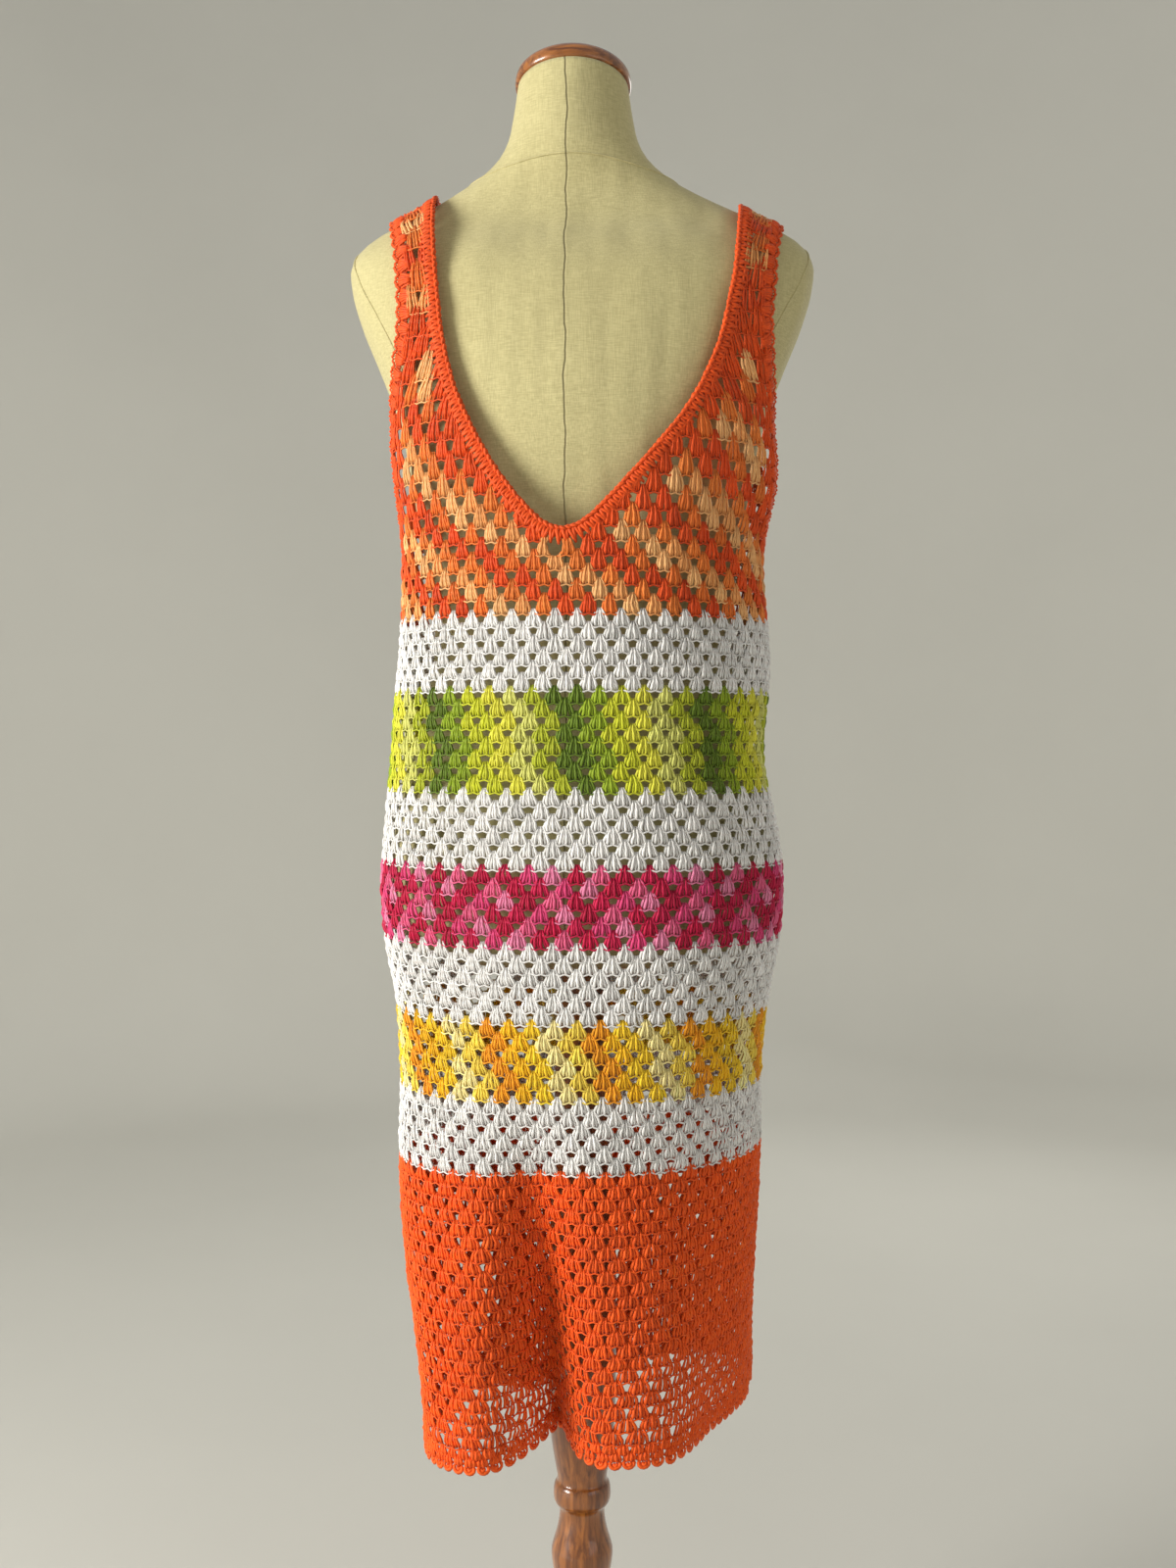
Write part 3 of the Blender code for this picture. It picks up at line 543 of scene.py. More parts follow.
def on_sheet(panel, share, height, out):
    """Points that stand out from the cloth, and its outward directions, read between rows.

    Below the armholes a share past a side seam carries on over the other panel.
    """
    past = (np.abs(share) > 1) & (height < ARMHOLE_BOTTOM)
    panel = np.where(past, -panel, panel)
    share = np.where(past, np.sign(share) * 2 - share, share)
    layer = (panel < 0).astype(int)
    row = ((height - HEM_HEIGHT) / LEVEL_STEP).clip(0, len(LEVELS) - 1.001)
    column = ((share + 1) / 2 * (len(SHARES) - 1)).clip(0, len(SHARES) - 1.001)
    r, c = row.astype(int), column.astype(int)
    fr, fc = (row - r)[..., None], (column - c)[..., None]

    def between(values):
        """The grid's values at the four nearest points, weighted by nearness."""
        low = values[layer, r, c] * (1 - fc) + values[layer, r, c + 1] * fc
        high = values[layer, r + 1, c] * (1 - fc) + values[layer, r + 1, c + 1] * fc
        return low * (1 - fr) + high * fr

    outward = between(SHEET_NORMALS)
    outward /= np.linalg.norm(outward, axis=-1)[..., None]
    return between(SHEET_POINTS) + outward * out[..., None], outward


def edge_line(points, middle, inset):
    """A finished edge, round at its lowest point, moved by inset: heights and distances."""
    table = np.array(((points[1][0], 2 * middle - points[1][1]), *points), float)
    way = np.concatenate(([0], np.cumsum(np.hypot(*np.diff(table, axis=0).T))))
    steps = np.linspace(way[1], way[-1], EDGE_POINTS)
    height, distance = read_rings(np.column_stack((way, table)), steps)
    rise, run = np.gradient(height), np.gradient(distance)
    rise[0] = 0
    length = np.hypot(rise, run)
    return height - run / length * inset, distance + rise / length * inset


def neck_line(panel, inset):
    """The neck's edge from the bottom of the V up, moved into the cloth by inset."""
    return edge_line(NECK_EDGES[panel], 0, inset)


def armhole_line(panel, inset):
    """The armhole's edge from the side seam up, moved into the cloth by inset."""
    side = float(sheet_scale(panel, ARMHOLE_BOTTOM))
    return edge_line(((ARMHOLE_BOTTOM, side), *ARM_EDGES[panel]), side, -inset)


NECK_SEAMS = {panel: neck_line(panel, NECK_EDGING_WIDTH + SEAM_GAP) for panel in (1, -1)}
ARM_SEAMS = {panel: armhole_line(panel, ARM_EDGING_WIDTH + SEAM_GAP) for panel in (1, -1)}

# Clusters: their number in a round of one panel, and how they are worked in each part, as
# radius of the yarn, half width at the top, power of the spread, and rise in rows
PANEL_CLUSTERS = 25
BODICE_WORK = (1.12, 1.6, 1.6, 1.5)
BAND_WORK = (1.06, 1.6, 1.55, 1.5)
SKIRT_WORK = (1.26, 2.5, 2.2, 1.36)
# six strands side by side, and five steps down each
STRANDS = np.linspace(-1, 1, 6)
DOWN = np.linspace(0, 1, 5)
# how a cluster stands, in millimetres: sunk at its ends, bulging between, every second strand
# higher; and the share of a row that its outer strands end higher
CLUSTER_SUNK, CLUSTER_BULGE, STRAND_STEP = 0.7, 2.3, 0.35
OUTER_RISE = 0.12
# how unevenly clusters are worked: width as a share, then sway, height and bulge in
# millimetres; and how far single strands stray aside and outwards
UNEVEN_WIDTH, UNEVEN_SWAY, UNEVEN_HEIGHT, UNEVEN_BULGE = 0.05, 0.5, 0.25, 0.25
STRAY_ASIDE, STRAY_OUT = 0.22, 0.2
# yarn pressed flat: its width and depth over its radius, how it thins at a closed end, and how
# a post swells on its way down
YARN_WIDE, YARN_DEEP = 1.3, 0.72
YARN_END = 0.72
POST_SWELL = (0.45, 0.72, 0.97, 1.15, 1.05)
# clusters grow wider between these heights, at the bottom to a share of the pitch and at the
# top by a factor
STRAP_WIDENING = (1120, 1225)
STRAP_SHARE = 0.53
STRAP_TOP_GROWTH = 2.2
CHAIN_RADIUS = 0.72
# the chain's zigzag from one corner link to the next: up the cloth and out of it
CHAIN_UP = (0.0, 0.6, -0.6, 0.6, -0.6, 0.6, 0.0)
CHAIN_OUT = (-0.5, 0.7, 1.5, 0.8, 1.5, 0.7, -0.5)
YARN_SIDES = 3
# the one larger gap under the V: its place, its radius, and how near to it no cluster is worked
V_GAP = (17, 1052)
V_GAP_RADIUS = 7.6
V_GAP_BARE = 3
# heights where the straps' columns start to lean, above which strands are held inside the
# seams, and where the round bottom of the armhole ends
LEAN_START = 1125
HELD_ABOVE = 1030
ARMHOLE_ROUND_TOP = 1104
# a distance beyond all cloth, where a height has no edge; and how far the middle of a cluster
# may lie past the seam of the neck and of the armhole
NO_EDGE = 999
NECK_OVERLAP, ARM_OVERLAP = 6, 5
rng = np.random.default_rng(11)


def keep_inside(panel, centre, across, height):
    """Strand points moved back inside the seams of the neck and armholes, the shorter way."""
    side = np.sign(centre)
    for key in (1, -1):
        here = panel == key
        neck_heights, neck_distances = NECK_SEAMS[key]
        arm_heights, arm_distances = ARM_SEAMS[key]
        shift = np.interp(height, SHIFTS[:, 0], SHIFTS[:, 1])
        reach = side * (across - shift)
        inner = np.interp(height, neck_heights, neck_distances, left=-NO_EDGE)
        bottom = np.interp(np.abs(reach), neck_distances, neck_heights)
        inside = here & (height > neck_heights[0]) & (reach < inner)
        lower = inside & (height - bottom < inner - reach)
        height = np.where(lower, bottom, height)
        across = np.where(inside & ~lower, side * inner + shift, across)
        shift = np.interp(height, SHIFTS[:, 0], SHIFTS[:, 2])
        reach = side * (across - shift)
        outer = np.interp(height, arm_heights, arm_distances, left=NO_EDGE)
        round_part = arm_heights < ARMHOLE_ROUND_TOP
        bottom = np.interp(-reach, -arm_distances[round_part], arm_heights[round_part])
        outside = here & (height > arm_heights[0]) & (reach > outer)
        lower = outside & (height < ARMHOLE_ROUND_TOP) & (height - bottom < reach - outer)
        height = np.where(lower, bottom, height)
        across = np.where(outside & ~lower, side * outer + shift, across)
    away = np.hypot(across - V_GAP[0], height - V_GAP[1])
    near = (panel > 0) & (away < V_GAP_RADIUS)
    push = np.where(near, V_GAP_RADIUS / away.clip(0.5), 1)
    return V_GAP[0] + (across - V_GAP[0]) * push, V_GAP[1] + (height - V_GAP[1]) * push


def tubes(paths, outward, radius, sides, swell=None):
    """Closed yarn tubes: a ring of points carried along each path, thinner at its ends.

    The ring is wider across the cloth than it is deep, as pressed yarn is, and swell gives its
    relative thickness at each step of the path.

    Returns points, faces, the yarn map (length in millimetres, share of a turn) for each
    corner of a face, and for each point the number of its path.
    """
    count, steps = paths.shape[:2]
    along = np.gradient(paths, axis=1)
    along /= np.linalg.norm(along, axis=-1)[..., None].clip(1e-9)
    across = np.cross(outward, along)
    across /= np.linalg.norm(across, axis=-1)[..., None].clip(1e-9)
    up = np.cross(along, across)
    turn = np.linspace(0, 2 * math.pi, sides, endpoint=False) + math.pi / 2
    if swell is None:
        swell = np.ones(steps)
        swell[[0, -1]] = YARN_END
    points = paths[:, :, None] + radius * np.asarray(swell)[:, None, None] * (
        YARN_WIDE * np.cos(turn)[:, None] * across[:, :, None]
        + YARN_DEEP * np.sin(turn)[:, None] * up[:, :, None])
    size = steps * sides
    quads = ring_faces(steps, sides)
    first, last = np.arange(sides)[::-1], np.arange(sides) + size - sides
    starts = (np.arange(count) * size)[:, None, None]
    length = np.concatenate((np.zeros((count, 1)),
                             np.cumsum(np.linalg.norm(np.diff(paths, axis=1), axis=-1), 1)), 1)
    step_of, turn_of = np.divmod(quads, sides)
    turn_of = turn_of.astype(float)
    turn_of[:, 1:3] = turn_of[:, :1] + 1
    quad_map = np.stack((length[:, step_of], np.broadcast_to(turn_of / sides,
                                                            (count, *quads.shape))), -1)
    end_map = np.zeros((count * 2 * sides, 2))
    all_quads = (starts + quads).reshape(-1, 4)
    ends = (starts + np.stack((first, last))).reshape(-1, sides)
    owner = np.repeat(np.arange(count), size)
    return (points.reshape(-1, 3), [all_quads, ends],
            np.vstack((quad_map.reshape(-1, 2), end_map)), owner)


def join(parts):
    """Several sets of tubes put together into one."""
    points, faces, maps, dyes, base = [], [], [], [], 0
    for part_points, part_faces, part_map, part_dye in parts:
        points.append(part_points)
        faces.extend(table + base for table in part_faces)
        maps.append(part_map)
        dyes.append(part_dye)
        base += len(part_points)
    return np.vstack(points), faces, np.vstack(maps), np.vstack(dyes)


def make_knit(name, parts, slot, replaced):
    """A piece of crochet from sets of tubes, with its yarn map and the dye of each strand."""
    points, faces, yarn_map, dye = join(parts)
    piece = make_piece(name, points, faces, COTTON, slot, replaced)
    layer = piece.data.uv_layers.new(name="yarn")
    layer.data.foreach_set("uv", yarn_map.astype(np.float32).ravel())
    colours = piece.data.color_attributes.new("dye", "FLOAT_COLOR", "POINT")
    colours.data.foreach_set("color", dye.astype(np.float32).ravel())
    return piece


def shaded(colour, shade):
    """Dyes made lighter or darker, each by its own factor, as yarn takes up dye unevenly."""
    dye = colour[..., :3] * shade
    return np.concatenate((dye, np.ones((*dye.shape[:-1], 1))), axis=-1).clip(0, 1)


def strap_lean(key, height):
    """How far columns of clusters lean with the armhole's edge, above where they start to."""
    lean = np.interp(height, *ARM_SEAMS[key]) - np.interp(LEAN_START, *ARM_SEAMS[key])
    return np.where(height > LEAN_START, lean, 0)


def cluster_tubes(panel, share, base, row, bottom_half, colour, work):
    """The strands of clusters: six posts that fan out downwards, and the chain below them.

    A post starts beside its neighbours at the top, more than a row up. It spreads along one
    minus the rest of the way to a power, and bulges outwards on a sine. The chain runs in a
    small zigzag from one corner link to the next.
    """
    yarn, top_half, power, rise = work
    count, strands, steps = len(share), len(STRANDS), len(DOWN)
    loose = rng.normal(0, 1, (4, count, 1, 1))
    frayed = rng.normal(0, 1, (2, count, strands, steps))
    t = DOWN[None, None, :]
    s = STRANDS[None, :, None]
    half = bottom_half[:, None, None] - yarn
    top = top_half * np.interp(base, STRAP_WIDENING, (1, STRAP_TOP_GROWTH))[:, None, None]
    fan = top + (half - top) * (1 - (1 - t) ** power)
    u = s * fan * (1 + UNEVEN_WIDTH * loose[0]) + UNEVEN_SWAY * loose[1] * np.sin(math.pi * t)
    u = u + STRAY_ASIDE * frayed[0]
    v = row[:, None, None] * (rise * (1 - t) + OUTER_RISE * s * s * t ** 3)
    v = v + UNEVEN_HEIGHT * loose[2]
    arch = np.sin(math.pi * (0.08 + 0.84 * t))
    w = -CLUSTER_SUNK + (CLUSTER_BULGE + UNEVEN_BULGE * loose[3]) * arch * (1 - 0.3 * s * s)
    w = w + STRAND_STEP * np.cos(math.pi * np.arange(strands))[None, :, None]
    w = w + STRAY_OUT * frayed[1]
    u, v, w = (np.broadcast_to(a, (count, strands, steps)) for a in (u, v, w))
    pitch = sheet_scale(panel, base)[:, None] * 2 / PANEL_CLUSTERS
    edge = bottom_half[:, None]
    chain_u = np.concatenate((-pitch / 2, edge * np.linspace(-1, 1, 5), pitch / 2), axis=1)
    chain_v = np.tile(CHAIN_UP, (count, 1))
    chain_w = np.tile(CHAIN_OUT, (count, 1))
    # the last shade is the chain's
    shade = rng.normal(1, 0.05, (count, 1, 1)) * rng.normal(1, 0.06, (count, strands + 1, 1))
    dye = shaded(colour[:, None], shade)
    parts = []
    for pu, pv, pw, radius, swell, tint in (
        (u, v, w, yarn, POST_SWELL, dye[:, :-1].reshape(-1, 4)),
        (chain_u[:, None], chain_v[:, None], chain_w[:, None], CHAIN_RADIUS, None, dye[:, -1]),
    ):
        whose, centre = panel[:, None, None] + 0 * pu, share[:, None, None] + 0 * pu
        height = base[:, None, None] + pv
        scale = sheet_scale(whose, height)
        fork = SHEET_SCALE[(whose < 0).astype(int), -1]
        lean = np.where(whose > 0, strap_lean(1, height), strap_lean(-1, height))
        across = (centre + np.sign(centre) * lean / fork) * scale + pu
        held = height > HELD_ABOVE
        clipped = keep_inside(whose, centre, across, height)
        across = np.where(held, clipped[0], across)
        height = np.where(held, clipped[1], height).clip(HEM_HEIGHT, STRAP_TOP)
        points, outward = on_sheet(whose, across / sheet_scale(whose, height), height, pw)
        points, outward = (a.reshape(-1, pu.shape[2], 3) for a in (points, outward))
        made = tubes(points, outward, radius, YARN_SIDES, swell)
        parts.append((*made[:3], tint[made[3]]))
    return parts


def lay_rows(bases, first_row, colour_of, bottom_share, work, panels=(1, -1)):
    """Clusters for a band: a brick pattern, each row half a cluster off the one above.

    bases are the heights of the rows' lower edges from the top down. Clusters that would lie
    beyond the seams are left out.
    """
    number = np.arange(PANEL_CLUSTERS)
    rows = np.arange(len(bases) - 1)
    row, k, panel = (a.ravel() for a in np.meshgrid(rows, number, panels, indexing="ij"))
    height, above = np.asarray(bases, float)[row + 1], np.asarray(bases, float)[row]
    tall = above - height
    offset = np.where((row + first_row) % 2 == 0, 0.5, 0.0)
    share = np.where(panel > 0, 1, -1) * (1 - 2 * (k + offset) / PANEL_CLUSTERS)
    middle = height + 0.6 * tall
    across = share * sheet_scale(panel, middle)
    keep = np.ones(len(share), bool)
    for key in (1, -1):
        side = np.sign(share)
        leaning = across + side * strap_lean(key, middle)
        inner = np.interp(middle, *NECK_SEAMS[key], left=-NO_EDGE)
        outer = np.interp(middle, *ARM_SEAMS[key], left=NO_EDGE)
        neck = side * (leaning - np.interp(middle, SHIFTS[:, 0], SHIFTS[:, 1]))
        arm = side * (leaning - np.interp(middle, SHIFTS[:, 0], SHIFTS[:, 2]))
        off = (neck < inner - NECK_OVERLAP) | (arm > outer + ARM_OVERLAP)
        keep &= ~((panel == key) & off)
        near = np.minimum(neck - inner, outer - arm)
        edge_distance = near if key == 1 else np.where(panel > 0, edge_distance, near)
    from_gap = np.hypot(across - V_GAP[0], middle - V_GAP[1])
    keep &= ~((panel > 0) & (from_gap < V_GAP_BARE))
    position = k + offset + np.where(panel > 0, 0, PANEL_CLUSTERS)
    colour = colour_of(position, row + first_row, edge_distance)
    pitch = sheet_scale(panel, middle) * 2 / PANEL_CLUSTERS
    wide = np.interp(height, STRAP_WIDENING, (bottom_share, STRAP_SHARE))
    values = (panel, share, height, tall, pitch * wide, colour)
    return cluster_tubes(*(value[keep] for value in values), work)


def chart(colours):
    """A small repeat of dyes as linear values, one for each hex colour."""
    return np.array([linear(colour) for colour in colours])


def make_cotton():
    """Mercerised cotton, two plies twisted: soft shine on each strand, and painted shade that
    darkens the dye in the grooves between plies.
    """
    material, tree, shader = start_material("two_ply_cotton_yarn")
    dye = add(tree, "VertexColor", {}, layer_name="dye").outputs["Color"]
    length = add(tree, "UVMap", {}, uv_map="yarn")
    # the plies turn once in 5 mm, drawn coarser than the real 3 mm so that they show
    twist = add(tree, "Mapping", {"Vector": length, "Scale": (0.1257, 1.2566, 0)})
    plies = add(tree, "TexWave", {"Vector": twist, "Scale": 1}, bands_direction="DIAGONAL")
    # painted shade: in the grooves between the plies the dye is darkened towards its copy
    # multiplied by #CEB3AA, where shade falls
    painted_groove_shade = add(tree, "MapRange", {"Value": plies.outputs["Fac"], "From Max": 0.45,
                                  "To Min": 0.42, "To Max": 0.0})
    deep = add(tree, "Mix", {0: 1.0, 6: dye, 7: linear("#CEB3AA")}, data_type="RGBA",
               blend_type="MULTIPLY")
    tone = add(tree, "Mix", {0: painted_groove_shade, 6: dye, 7: deep.outputs[2]}, data_type="RGBA")
    relief = add(tree, "Bump", {"Height": plies.outputs["Fac"], "Strength": 0.35,
                                "Distance": 0.0004})
    feed(tree, shader, {"Base Color": tone.outputs[2], "Normal": relief, "Roughness": 0.6,
                        "Specular IOR Level": 0.35, "Sheen Weight": 0.06})
    return material


def repeat(colours, period, start, drift):
    """A rule that gives each cluster the dye where it falls in a repeat that drifts by rows."""
    def colour_of(position, row, edge_distance):
        """Dyes by the cluster's number in the round, counted from the wearer's left side."""
        phase = ((position - start - drift * row) / period) % 1 * len(colours)
        return colours[np.floor(phase + 0.5).astype(int) % len(colours)]
    return colour_of


COTTON = make_cotton()

# The bodice and its straps, worked first, downwards from the shoulders, in cotton that was
# dyed in a repeat of peach and orange. The dress's weight draws the strap rows taller.
BODICE = chart(("#F6BC7C", "#F2A964", "#EE8436", "#E85618", "#E24E12", "#EC7A2E"))
DEEP_ORANGE = chart(("#E8540F",))
STRAP_ROWS = 9
DEEP_EDGE = 14
# lower edges of the rows in millimetres, from the bottom up; the last one is past the ridge
BODICE_HEIGHTS = (BODICE_BOTTOM, 1011.2, 1022.4, 1033.6, 1044.8, 1056, 1067.5, 1080, 1093.5,
                  1107.5, 1122, 1137, 1152.5, 1168.5, 1185, 1202, 1219, 1236, 1253, 1270, 1287,
                  1304, 1321, 1338, 1355, 1372, STRAP_TOP + 8)
PANELS = (("back", 1), ("front", -1))


def bodice_dye(position, row, edge_distance):
    """The bodice's repeat of peach and orange, deep orange where it meets an edging.

    The straps' own clusters, in the first rows, take the repeat row by row: five dyes on in
    every three rows, and two rows ahead on the wearer's right strap.
    """
    colours = repeat(BODICE, 6, 2.6, 1.2)(position, row, edge_distance)
    colours = np.where((edge_distance < DEEP_EDGE)[:, None], DEEP_ORANGE, colours)
    ahead = (position > PANEL_CLUSTERS // 2) * 2
    strap = BODICE[(row + ahead) * 5 // 3 % len(BODICE)]
    return np.where((row < STRAP_ROWS)[:, None], strap, colours)


chains = {"upper": [], "lower": []}
for label, panel in PANELS:
    posts, chain = lay_rows(BODICE_HEIGHTS[::-1], 0, bodice_dye, 0.40, BODICE_WORK, (panel,))
    chains["upper"].append(chain)
    make_knit("bodice_" + label, [posts], "crochet_cotton",
                                         [label + "_panel"])

# The seven bands: plain white rounds between bands of green, pink and yellow, each from a
# cotton that was dyed in a repeat of shades, worked on from the bodice all round.
WHITE = chart(("#F0F0EE",))
GREEN = chart(("#66801C", "#96AE24", "#CED42E", "#E0DE46", "#D8DA74", "#B6C02C"))
PINK = chart(("#C40A44", "#CC164E", "#E0457E", "#EA88AE", "#C20A42", "#E4628C"))
YELLOW = chart(("#F4A41A", "#FAC218", "#FBD42C", "#F9EAA2", "#FADC54"))
SKIRT_TOP = 569.5
# from the top down in millimetres: name, upper and lower edge, rows, the dye rule, and the
# share of the pitch that half a cluster's lower edge takes
BANDS = (
    ("white_band_1", BODICE_BOTTOM, 941, 6, repeat(WHITE, 1, 0, 0), 0.41),
    ("green_band", 941, 862.5, 8, repeat(GREEN, 6.3, 8.8, 0.1), 0.41),
    ("white_band_2", 862.5, 803.5, 6, repeat(WHITE, 1, 0, 0), 0.41),
    ("pink_band", 803.5, 744, 6, repeat(PINK, 6, 3, 2.2), 0.42),
    ("white_band_3", 744, 685, 6, repeat(WHITE, 1, 0, 0), 0.42),
    ("yellow_band", 685, 626, 6, repeat(YELLOW, 4.6, 4.4, 0.15), 0.43),
    ("white_band_4", 626, SKIRT_TOP, 6, repeat(WHITE, 1, 0, 0), 0.43),
)
UPPER_CHAINS_END = 800


rows_done = len(BODICE_HEIGHTS) - 1
for name, top, bottom, rows, rule, width in BANDS:
    posts, chain = lay_rows(np.linspace(top, bottom, rows + 1), rows_done, rule, width,
                            BAND_WORK)
    chains["upper" if bottom > UPPER_CHAINS_END else "lower"].append(chain)
    band = make_knit(name, [posts], "crochet_cotton", ["back_panel", "front_panel"])
    rows_done += rows

# The skirt, one plain orange cotton to the hem, in looser and wider clusters. The chains that
# run under every row of the dress are pieces of their own, an upper and a lower one.
SKIRT_ORANGE = chart(("#FB6110",))
SKIRT_BOTTOM = 363
SKIRT_ROWS = 22
for label, panel in PANELS:
    posts, chain = lay_rows(np.linspace(SKIRT_TOP, SKIRT_BOTTOM, SKIRT_ROWS + 1), rows_done,
                            repeat(SKIRT_ORANGE, 1, 0, 0), 0.46, SKIRT_WORK, (panel,))
    chains["lower"].append(chain)
    make_knit("skirt_" + label, [posts], "crochet_cotton",
                                        [label + "_panel"])
chain_rows = {label: make_knit("chain_rows_" + label, parts, "crochet_cotton", [])
              for label, parts in chains.items()}

# The neck edging: one round of tight slanted stitches in deep orange cotton that wraps the
# raw edge like a rope, worked round the whole neckline.
EDGE_SIDES = 4
EDGE_YARN = 1.15
CORE_SIDES = 8
# the cord's dye is darkened by this factor: painted shade, where it lies under the stitches of
# the edging
CORE_PAINTED_SHADE = 0.8
NECK_STITCH = 5.0
# one stitch, as two legs and the loop of chain on the edge: along the edge, in from the
# edge, out from the cloth
NECK_LOOPS = np.array((
    ((-2.9, 13.6, -0.6), (-2.4, 10.0, 1.3), (-1.6, 6.4, 2.0), (-0.4, 3.0, 1.7), (0.4, 1.2, 0.2)),
    ((2.3, 13.2, -0.6), (2.1, 9.6, 1.1), (1.6, 6.2, 2.0), (1.0, 3.0, 1.6), (0.6, 1.2, 0.0)),
    ((-3.4, 2.6, 0.9), (-1.4, 1.5, 2.2), (0.8, 0.7, 2.1), (2.6, 0.7, 1.3), (3.6, 1.6, 0.2)),
    ((-3.0, 3.0, -0.6), (-1.9, 1.0, 0.9), (0.1, 0.2, 1.3), (2.1, 0.8, 0.6), (3.0, 2.8, -1.0)),
))


def edge_loop(lines, width, shift_column, stretches):
    """Stations round an opening: points on its edge and seam, and the outward direction.

    The stretches that it is made of are given in turn: panel, side, and whether it runs up.
    """
    stations = []
    for panel, side, upward in stretches:
        pair = []
        for inset in (0, width):
            heights, distances = lines(panel, inset)
            shift = np.interp(heights, SHIFTS[:, 0], SHIFTS[:, shift_column])
            whose = np.full(len(heights), panel)
            share = (side * distances + shift) / sheet_scale(whose, heights)
            pair.append(on_sheet(whose, share, heights.clip(None, STRAP_TOP), 0 * heights))
        (edge, outward), (seam, _) = pair
        part = np.hstack((edge, seam, outward))
        stations.append((part if upward else part[::-1])[:-1])
    return np.vstack(stations)


def on_loop(stations, along, inward, out, width):
    """Points by way along an opening, way in from its edge and height off the cloth."""
    middle = (stations[:, :3] + stations[:, 3:6]) / 2
    steps = np.linalg.norm(np.roll(middle, -1, axis=0) - middle, axis=1)
    way = np.concatenate(([0], np.cumsum(steps)))
    closed = np.vstack((stations, stations[:1]))
    values = np.stack([np.interp(along % way[-1], way, closed[:, i]) for i in range(9)], -1)
    edge, seam, outward = values[..., :3], values[..., 3:6], values[..., 6:]
    outward = outward / np.linalg.norm(outward, axis=-1)[..., None]
    share = (inward / width)[..., None]
    return edge + (seam - edge) * share + outward * out[..., None], outward


def loop_length(stations):
    """The length of an opening, midway between its edge and its seam."""
    middle = (stations[:, :3] + stations[:, 3:6]) / 2
    return np.linalg.norm(np.roll(middle, -1, axis=0) - middle, axis=1).sum()


def edging_tubes(stations, width, pitch, templates, colour):
    """Stitches repeated round an opening: each template is a path in edge, inward and out."""
    length = loop_length(stations)
    count = max(1, round(length / pitch))
    start = np.arange(count) * length / count
    parts = []
    for template in templates:
        wobble = rng.normal(0, 0.18, (count, 1, 3))
        path = template[None] + wobble
        points, outward = on_loop(stations, start[:, None] + path[..., 0], path[..., 1],
                                  path[..., 2], width)
        made = tubes(points, outward, EDGE_YARN, EDGE_SIDES)
        dye = shaded(colour, rng.normal(1, 0.06, (count, 1)))
        parts.append((*made[:3], dye[made[3]]))
    return parts


def core_tube(stations, width, inward, half_in, half_out, colour, steps):
    """A flat closed cord inside an edging: an ellipse carried round the opening, its dye darkened
    as painted shade under the stitches.

    Its faces are turned round where the volume they enclose comes out negative.
    """
    length = loop_length(stations)
    along = np.linspace(0, length, steps, endpoint=False)[:, None]
    turn = np.linspace(0, 2 * math.pi, CORE_SIDES, endpoint=False)[None, :]
    points, _ = on_loop(stations, along + 0 * turn, inward + half_in * np.cos(turn) + 0 * along,
                        half_out * np.sin(turn) + 0 * along, width)
    points = points.reshape(-1, 3)
    faces = close_rows(ring_faces(steps, CORE_SIDES), steps, CORE_SIDES)
    a, b, c, d = points[faces].transpose(1, 0, 2)
    if (a * (np.cross(b, c) + np.cross(c, d))).sum() < 0:
        faces = faces[:, ::-1]
    yarn_map = np.zeros((faces.size, 2))
    dye = np.tile(np.append(colour[:3] * CORE_PAINTED_SHADE, 1), (steps * CORE_SIDES, 1))
    return points, [faces], yarn_map, dye


deep = DEEP_ORANGE[0]
neck_stations = edge_loop(neck_line, NECK_EDGING_WIDTH, 1,
                          ((1, 1, True), (-1, 1, False), (-1, -1, True), (1, -1, False)))
neck_parts = edging_tubes(neck_stations, NECK_EDGING_WIDTH, NECK_STITCH, NECK_LOOPS, deep)
neck_parts.append(core_tube(neck_stations, NECK_EDGING_WIDTH, 4.6, 3.8, 1.0, deep, 360))
neck_edging = make_knit("neck_rope", neck_parts, "edging_cotton", ["neck_edging"])

# The armhole edgings: shells of six strands each that fan out to a scalloped rim, worked in
# deep orange cotton round each armhole from the side seam.
SHELL_PITCH = 12
# a strand spreads from 1.8 to 5.5 mm aside on its way from 14.6 mm in to 2 mm off the edge,
# or 4.2 mm for the outer ones, and bulges on a sine; the rim is a parabola over their ends
shell_way = np.linspace(0, 1, 6)
shell_fan = [
    np.column_stack((s * (1.8 + 3.7 * shell_way ** 0.8), 14.6 - (12.6 - 2.2 * s * s) * shell_way,
                     -0.4 + 2.2 * np.sin(math.pi * (0.1 + 0.8 * shell_way)) * (1 - 0.3 * s * s)))
    for s in STRANDS
]
rim_way = np.linspace(-1, 1, 9)
shell_rim = np.column_stack((6.2 * rim_way, 0.6 + 3.6 * rim_way ** 2,
                             0.8 + 0.7 * np.cos(rim_way * 4 * math.pi) * (1 - rim_way ** 2)))
for label, side in (("left", 1), ("right", -1)):
    stations = edge_loop(armhole_line, ARM_EDGING_WIDTH, 2, ((1, side, True), (-1, side, False)))
    parts = edging_tubes(stations, ARM_EDGING_WIDTH, SHELL_PITCH, [*shell_fan, shell_rim], deep)
    parts.append(core_tube(stations, ARM_EDGING_WIDTH, 7.4, 3.8, 0.9, deep, 220))
    make_knit("armhole_shells_" + label, parts, "edging_cotton",
                                 ["armhole_edging_" + label])

# The hem edging: a last round of close fans, and under it a row of small round picots, in
# the same orange cotton as the skirt.
PICOT_PITCH = 10
HEM_MIDDLE = 350
